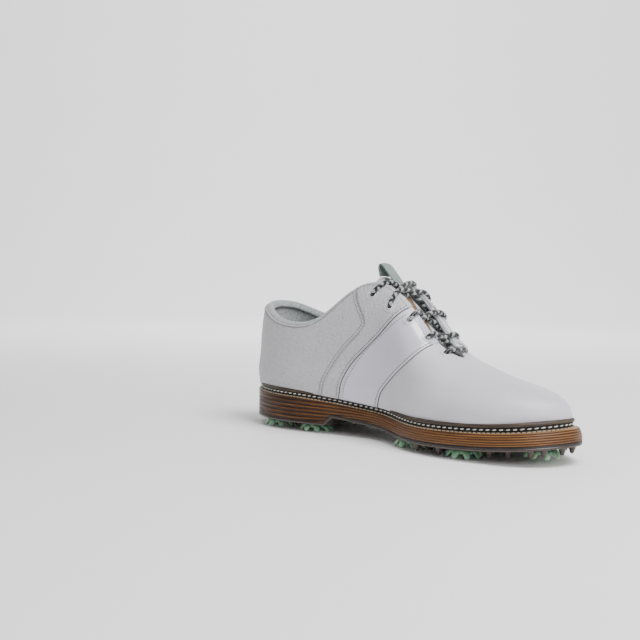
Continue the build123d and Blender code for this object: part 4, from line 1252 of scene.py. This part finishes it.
def build_welt():
    e = welt_in
    profile = [(e + 9, -0.8), (e + 5.0, 0.7), (e + 2.4, 0.55), (e + 0.9, 0.3), (e + 0.25, -0.05), (e, -0.55),
               (e, -1.5), (e + 0.2, -1.95), (e + 1.3, -2.05), (e + 1.35, -4.8), (e + 0.35, -4.85),
               (e + 0.05, -5.1), (e + 0.05, -5.75), (e + 9, -5.75)]
    wear(swept_ring("welt_strip", profile), M["welt"], hides=["welt"])
    # near-black sheet at the back of the groove: painted shade
    back = [(e + 1.22, -2.0), (e + 1.22, -4.9), (e + 2.2, -4.9), (e + 2.2, -2.0)]
    wear(swept_ring("welt_groove_back", back), M["groove"])
    line, upper = ring_points(e + 1.0, -3.4), ring_points(e - 0.35, -5.5)
    out = np.concatenate([-plan_in, np.zeros((RING, 1))], 1)
    closed = np.concatenate([line, line[:1]])
    dashes = stitches("welt_dashes", [(closed, np.concatenate([out, out[:1]]))], 4.7, 3.0, 0.5, 0.0, 0.12)
    wear(dashes, M["thread"], hides=["welt_thread"])
    top = np.concatenate([upper, upper[:1]])
    ups = np.tile([0, 0, 1.0], (RING + 1, 1)) * 0.8 + np.concatenate([out, out[:1]]) * 0.6
    wear(stitches("ledge_stitches", [(top, ups)], 3.4, 2.7, 0.34, 0.1), M["ledge_thread"])


def wood_bottom(x):
    """Lowest height of the stacked sole at x: the waist's underside, the breast's slope, the heel."""
    waist = seam_z(x) - WELT - MIDSOLE
    slope = HEEL_BOTTOM + (x - BREAST_X) / BREAST_RUN * BREAST_RISE
    return np.where(x < BREAST_X, HEEL_BOTTOM, np.minimum(waist, np.maximum(slope, HEEL_BOTTOM)))


def layer_pitch(x):
    """Height of one layer of the stack: broad at the heel, fine at the forefoot."""
    return 1.55 + 1.75 / (1 + np.exp((x + 42) / 14))


def build_stack():
    x = plan[:, 0]
    top, bottom = seam_z(x) - WELT, wood_bottom(x)
    share = np.concatenate([[0, 0.012, 0.035], np.linspace(0.06, 0.94, 110), [0.965, 0.988, 1.0]])
    f = np.broadcast_to(share[:, None], (len(share), RING))
    height = top - f * (top - bottom)
    layer = (top - height) / layer_pitch(x) + 0.35
    heel = 1 / (1 + np.exp((x + 40) / 10))
    off = np.abs((layer + 0.5) % 1 - 0.5) * layer_pitch(x)
    deep = (0.12 + 0.5 * heel) * np.exp(-(off / (0.28 + 0.3 * heel)) ** 2)
    flare = 2.2 * (1 - heel) * np.clip(1 - (top - height) / 6.5, 0, 1) ** 1.5
    corner = 0.5 * np.clip(1 - (top - height) / 0.6, 0, 1) ** 2
    corner = corner + 0.3 * np.clip(1 - (height - bottom) / 0.5, 0, 1) ** 2
    side = plan[None] + plan_in[None] * (deep + corner + flare)[..., None]
    outer = np.concatenate([side, height[..., None]], -1)
    inner_low = np.concatenate([plan + plan_in * 14, bottom[:, None]], -1)
    inner_top = np.concatenate([plan + plan_in * 14, top[:, None]], -1)
    points = np.concatenate([outer, inner_low[None], inner_top[None]])
    run = np.broadcast_to(ring_run, points.shape[:2]) * MM
    uv = np.stack([run, (top - points[..., 2]) / layer_pitch(x) + 0.35], -1).reshape(-1, 2)
    faces = quads(len(points), RING, 0, True, True)
    piece = make_mesh("stacked_layers", points.reshape(-1, 3), faces, uv)
    wear(piece, M["wood"], hides=["midsole", "heel_block"])


def tread_base(x):
    """Height of the tread's face at x, before its relief."""
    under = seam_z(x) - WELT - MIDSOLE - OUTSOLE
    slope = TREAD_BOTTOM + (x - BREAST_X - 1.2) / (BREAST_RUN + 0.4) * BREAST_RISE
    return np.where(x < BREAST_X + 1.2, TREAD_BOTTOM, np.minimum(under, np.maximum(slope, TREAD_BOTTOM)))


def grooves(distance, pitch, wide, deep):
    """Furrows at every pitch of a distance field."""
    off = np.abs((distance / pitch + 0.5) % 1 - 0.5) * pitch
    return deep * np.clip(1 - off / wide, 0, 1) ** 0.7


def inside_quad(x, y, corners, soft=0.6):
    """1 inside a four-cornered patch, 0 outside, with soft edges."""
    best = np.full(x.shape, 1e9)
    turn = 0.0
    for (ax, ay), (bx, by) in zip(corners, corners[1:] + corners[:1]):
        turn += ax * by - bx * ay
    for (ax, ay), (bx, by) in zip(corners, corners[1:] + corners[:1]):
        length = math.hypot(bx - ax, by - ay)
        off = ((bx - ax) * (y - ay) - (by - ay) * (x - ax)) / length
        best = np.minimum(best, off if turn > 0 else -off)
    return np.clip(best / soft + 0.5, 0, 1)


def tread_relief(x, y):
    """How far the tread stands up into the sole (positive) or out of it (negative)."""
    fore = np.clip((x + 6) / 8, 0, 1)
    one = np.hypot(x - 190, y + 120)
    two = np.hypot(x - 190, y - 110)
    lattice = np.maximum(grooves(one, 11.5, 0.95, 0.9), grooves(two, 11.5, 0.95, 0.9))
    faces = 0.35 * (np.abs((one / 11.5) % 1 - 0.5) + np.abs((two / 11.5) % 1 - 0.5))
    relief = fore * (lattice + faces - 0.35)
    heel = np.clip((BREAST_X - 4 - x) / 4, 0, 1)
    arcs = np.hypot(x + 20, y + 1.5)
    relief += heel * (grooves(arcs, 9.5, 0.9, 0.8) + grooves(y - 0.12 * x, 10.5, 0.8, 0.6))
    channel_zone = inside_quad(x, y, [(-104, -7), (-56, -9), (-56, 6), (-104, 4)], 2.0)
    relief += channel_zone * (1.6 - relief)
    waist = np.clip((x + 47) / 3, 0, 1) * np.clip((-4 - x) / 4, 0, 1)
    ribs = -0.8 * (np.abs(((x * 0.25 + y) / 5.2) % 1 - 0.5) < 0.2)
    relief += waist * np.where(y < -7, ribs, np.where(y > 10, 0.7 * grooves(x + 0.55 * y, 8.0, 1.2, 1.0), 0))
    badge_bed = inside_quad(x, y, [(-48, -5), (-10, -4), (-10, 3), (-48, 8)], 0.8)
    relief += badge_bed * (1.3 - relief)
    for _, cx, cy, _ in CLEATS:
        away = np.hypot(x - cx, y - cy)
        relief = np.where(away < 14.6, 0, relief)
        relief = relief + 0.8 * np.exp(-((away - 14.8) / 0.7) ** 2)
    return relief


def build_tread():
    u = np.linspace(0, np.pi, 470)
    x = -151.05 + 302.1 * (1 - np.cos(u)) / 2
    x = 0.35 * x + 0.65 * np.linspace(-151.05, 151.05, 470)
    s = np.linspace(0, 1, 150)
    xx, ss = np.meshgrid(x, s, indexing="ij")
    low, high = medial_side(xx), lateral_side(xx)
    y = low + ss * (high - low)
    base = tread_base(xx)
    rim = np.minimum(y - low, high - y)
    ends = np.minimum(xx + 151.05, 151.05 - xx)
    rim = np.minimum(rim, ends * 1.5)
    z = base + tread_relief(xx, y) * np.clip((rim - 3.2) / 0.8, 0, 1)
    z += 0.7 * np.clip(1 - rim / 0.9, 0, 1) ** 2
    top = base + 1.75
    points = np.stack([xx, y, z], -1)
    upper = np.stack([xx, y, top], -1)
    rows, columns = xx.shape
    faces = [f[::-1] for f in quads(rows, columns)] + quads(rows, columns, rows * columns)
    shift = rows * columns
    border = [(r * columns, (r + 1) * columns) for r in range(rows - 1)]
    border += [((r + 2) * columns - 1, (r + 1) * columns - 1) for r in range(rows - 1)]
    border += [(c + 1, c) for c in range(columns - 1)]
    border += [((rows - 1) * columns + c, (rows - 1) * columns + c + 1) for c in range(columns - 1)]
    faces += [(a, b, b + shift, a + shift) for a, b in border]
    uv = np.tile(np.stack([xx, y], -1).reshape(-1, 2) * MM, (2, 1))
    both = np.concatenate([points.reshape(-1, 3), upper.reshape(-1, 3)])
    piece = make_mesh("outsole_tread", both, faces, uv)
    wear(piece, M["tread"], hides=["outsole"])
    black = []
    band_x = plan[:, 0]
    low_z, top_z = tread_base(band_x) + 1.7, wood_bottom(band_x) + 0.05
    top_z = np.maximum(top_z, low_z + 0.4)
    for inset, z_line in ((0.25, low_z), (0.0, low_z + 0.15), (0.0, top_z - 0.15), (0.25, top_z),
                          (15, top_z), (15, low_z)):
        at = plan + plan_in * inset
        black.append(np.concatenate([at, z_line[:, None]], 1))
    points = np.array(black)
    band = make_mesh("outsole_line", points.reshape(-1, 3), quads(len(black), RING, 0, True, True))
    wear(band, M["rim"])


PEGS = [
    (48, -49), (67.5, -50), (104, -43), (116, -38.5), (131, -35), (138, -30), (144, -17), (144, -4),
    (130, 12), (118, 13), (3, 27), (-70, 35), (-66, 15), (-92, -12), (51, -37), (63, -33),
]


def close_rings(faces, start, rows, sides):
    """Skin and end caps over rings of points that begin at start."""
    faces += quads(rows, sides, start, False, True)
    faces.append([start + k for k in range(sides)][::-1])
    faces.append([start + (rows - 1) * sides + k for k in range(sides)])


def lathe(points, faces, centre, profile, sides=20):
    """Add a turned shape; profile is (radius, height) from one end to the other."""
    start = len(points)
    for radius, height in profile:
        for k in range(sides):
            turn = 2 * math.pi * k / sides
            x, y = radius * math.cos(turn), radius * math.sin(turn)
            points.append((centre[0] + x, centre[1] + y, centre[2] + height))
    close_rings(faces, start, len(profile), sides)


def build_pegs():
    points, faces = [], []
    for x, y in PEGS:
        base = float(tread_base(np.array(float(x))))
        long = min(5.2, base - 0.8)
        profile = [(0.01, -long), (0.8, -long + 0.05), (1.3, -long + 0.5), (2.0, -long * 0.5), (3.0, 0.1),
                   (3.1, 0.9), (0.01, 0.9)]
        lathe(points, faces, (x, y, base), profile)
    wear(make_mesh("tread_pegs", points, faces), M["tread"])


# ------------------------------------------------------------------ cleats
TEETH = 8
# a tooth's stations: radius, height, half width, half thickness
TOOTH = [(5.5, 5.0, 2.6, 1.2), (8.0, 4.9, 3.0, 1.25), (9.6, 4.2, 2.8, 1.3), (10.9, 3.0, 2.5, 1.25),
         (11.7, 1.8, 2.1, 1.1), (12.1, 0.95, 1.7, 0.95), (12.2, 0.4, 1.0, 0.5), (12.2, 0.1, 0.3, 0.2)]


TOOTH_RING, RAY_RING = 12, 8
# the moulded hub under the teeth: radius, height
HUB = [(0.01, 3.35), (3.2, 3.3), (6.6, 3.4), (8.2, 3.3), (9.3, 3.1), (9.7, 3.9), (9.2, 5.2), (8.2, 6.2),
       (0.01, 6.5)]
# a pale ray's stations: radius, height, half width, half thickness
RAY = [(2.2, 3.22, 0.2, 0.1), (2.8, 3.1, 0.42, 0.28), (6.2, 3.2, 0.62, 0.4), (8.6, 3.65, 0.6, 0.42),
       (9.9, 2.9, 0.42, 0.35), (10.4, 2.5, 0.15, 0.15)]
# the key holes, each a dark pin of painted shade: distance from the middle, and a pin of radius, height
KEY_OUT = 4.4
KEY_PIN = [(0.01, 3.1), (0.95, 3.1), (0.95, 3.7), (0.01, 3.7)]


def spokes():
    """Directions outward and sideways of each tooth of a cleat."""
    for k in range(TEETH):
        turn = 2 * math.pi * k / TEETH
        yield np.array([math.cos(turn), math.sin(turn), 0]), np.array([-math.sin(turn), math.cos(turn), 0])


def squared(value):
    """A sine or cosine pushed outward, so that a ring of them is a rounded square."""
    return math.copysign(abs(value) ** 0.75, value)


def cleat_star(centre):
    points, faces = [], []
    lathe(points, faces, centre, HUB, 48)
    spine = np.array([[r, z] for r, z, _, _ in TOOTH])
    way = np.gradient(spine, axis=0)
    way /= np.linalg.norm(way, axis=1, keepdims=True)
    for out, side in spokes():
        start = len(points)
        for (r, z, wide, thick), (wr, wz) in zip(TOOTH, way):
            up = out * -wz + np.array([0, 0, wr])
            for j in range(TOOTH_RING):
                roll = 2 * math.pi * j / TOOTH_RING
                c, s = squared(math.cos(roll)), squared(math.sin(roll))
                points.append(centre + out * r + np.array([0, 0, z]) + side * wide * c + up * thick * s)
        close_rings(faces, start, len(TOOTH), TOOTH_RING)
    return points, faces


def cleat_rays(centre):
    points, faces = [], []
    for out, side in spokes():
        start = len(points)
        for r, z, wide, thick in RAY:
            for j in range(RAY_RING):
                roll = 2 * math.pi * j / RAY_RING
                across, up = side * wide * math.cos(roll), np.array([0, 0, z + thick * math.sin(roll)])
                points.append(centre + out * r + across + up)
        close_rings(faces, start, len(RAY), RAY_RING)
    return points, faces


def cleat_holes(centre):
    points, faces = [], []
    for x in (-KEY_OUT, KEY_OUT):
        lathe(points, faces, centre + np.array([x, 0, 0]), KEY_PIN, 16)
    return points, faces


def build_cleat(name, cx, cy, lift):
    centre, body = np.array([cx, cy, lift]), f"cleat_{name}"
    wear(make_mesh(f"{body}_star", *cleat_star(centre)), M["cleat"], body, hides=[body])
    wear(make_mesh(f"{body}_rays", *cleat_rays(centre)), M["ray"], body)
    wear(make_mesh(f"{body}_holes", *cleat_holes(centre)), M["groove"], body)


# ------------------------------------------------------------------ build
build_side_panels()
build_vamp()
build_edges()
build_upper_stitches()
build_backstay()
build_collar_lining()
build_vamp_lining()
build_sockliner()
build_tongue()
build_tongue_strip()
build_pull_tab()
build_eyelets()
build_lace()
build_welt()
build_stack()
build_tread()
build_pegs()
for cleat in CLEATS:
    build_cleat(*cleat)

CAD_FINISH = {
    "insole_board": "board",
    "cork_filler": "cork", "shank": "steel", "tread_inserts": "insert", "shank_badge": "badge",
    "cleat_receptacles": "receptacle",
}
for node, finish in CAD_FINISH.items():
    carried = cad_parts[node]
    for part_slot in carried.material_slots:
        part_slot.link = "OBJECT"
        part_slot.material = M[finish]


# ------------------------------------------------------------------ floor, camera and lights
FLOOR_FLAT, SWEEP_R, WALL_TOP = 2200, 1500, 4200


def build_floor():
    """Pale floor that sweeps up into a wall all round, far from the shoe."""
    points, faces = [], []
    sweep = [(0.01, 0)] + [(r, 0) for r in (500, 1200, FLOOR_FLAT)]
    for t in np.linspace(0.1, 1.45, 16):
        sweep.append((FLOOR_FLAT + SWEEP_R * math.sin(t), SWEEP_R * (1 - math.cos(t))))
    sweep.append((FLOOR_FLAT + SWEEP_R + 30, WALL_TOP))
    lathe(points, faces, (0, 0, -0.05), sweep, 72)
    floor = make_mesh("floor", points, faces[:-1])
    paper = Finish("floor_paper", (0.93, 0.93, 0.93), 0.6)
    paper.paint(paper.noise(3, 2), [(0.3, (0.925, 0.925, 0.925)), (0.7, (0.935, 0.935, 0.935))])
    floor.data.materials.append(paper.material)


def build_camera():
    place = Vector((0.478, -0.6075, 0.122))
    yaw, pitch, roll = (math.radians(angle) for angle in (-43.3, 2.4, 0.9))
    forward = Vector((math.sin(yaw) * math.cos(pitch), math.cos(yaw) * math.cos(pitch), -math.sin(pitch)))
    right = Vector((math.cos(yaw), -math.sin(yaw), 0))
    up = right.cross(forward)
    right, up = right * math.cos(roll) + up * math.sin(roll), up * math.cos(roll) - right * math.sin(roll)
    data = bpy.data.cameras.new("camera")
    data.lens, data.sensor_width = 56.25, 36
    data.clip_start, data.clip_end = 0.01, 50
    camera = bpy.data.objects.new("camera", data)
    camera.matrix_world = Matrix.Translation(place) @ Matrix((right, up, -forward)).transposed().to_4x4()
    bpy.context.scene.collection.objects.link(camera)
    bpy.context.scene.camera = camera


def area_light(name, place, target, size, power, colour=(1, 1, 1)):
    data = bpy.data.lights.new(name, "AREA")
    data.size, data.energy, data.color = size, power, colour
    light = bpy.data.objects.new(name, data)
    light.location = place
    light.rotation_euler = (Vector(target) - Vector(place)).to_track_quat("-Z", "Y").to_euler()
    bpy.context.scene.collection.objects.link(light)


build_floor()
build_camera()
area_light("overhead", (0.55, 0.0, 1.15), (0, 0, 0.05), 0.7, 21)
area_light("front", (1.2, -0.4, 0.6), (0.05, 0, 0.06), 0.5, 7)
area_light("backdrop", (-0.9, 1.0, 1.7), (-2.0, 2.2, 0.4), 1.5, 70)
world = bpy.data.worlds.new("surround")
world.use_nodes = True
world.node_tree.nodes["Background"].inputs["Color"].default_value = (1, 1, 1, 1)
world.node_tree.nodes["Background"].inputs["Strength"].default_value = 0.5
bpy.context.scene.world = world
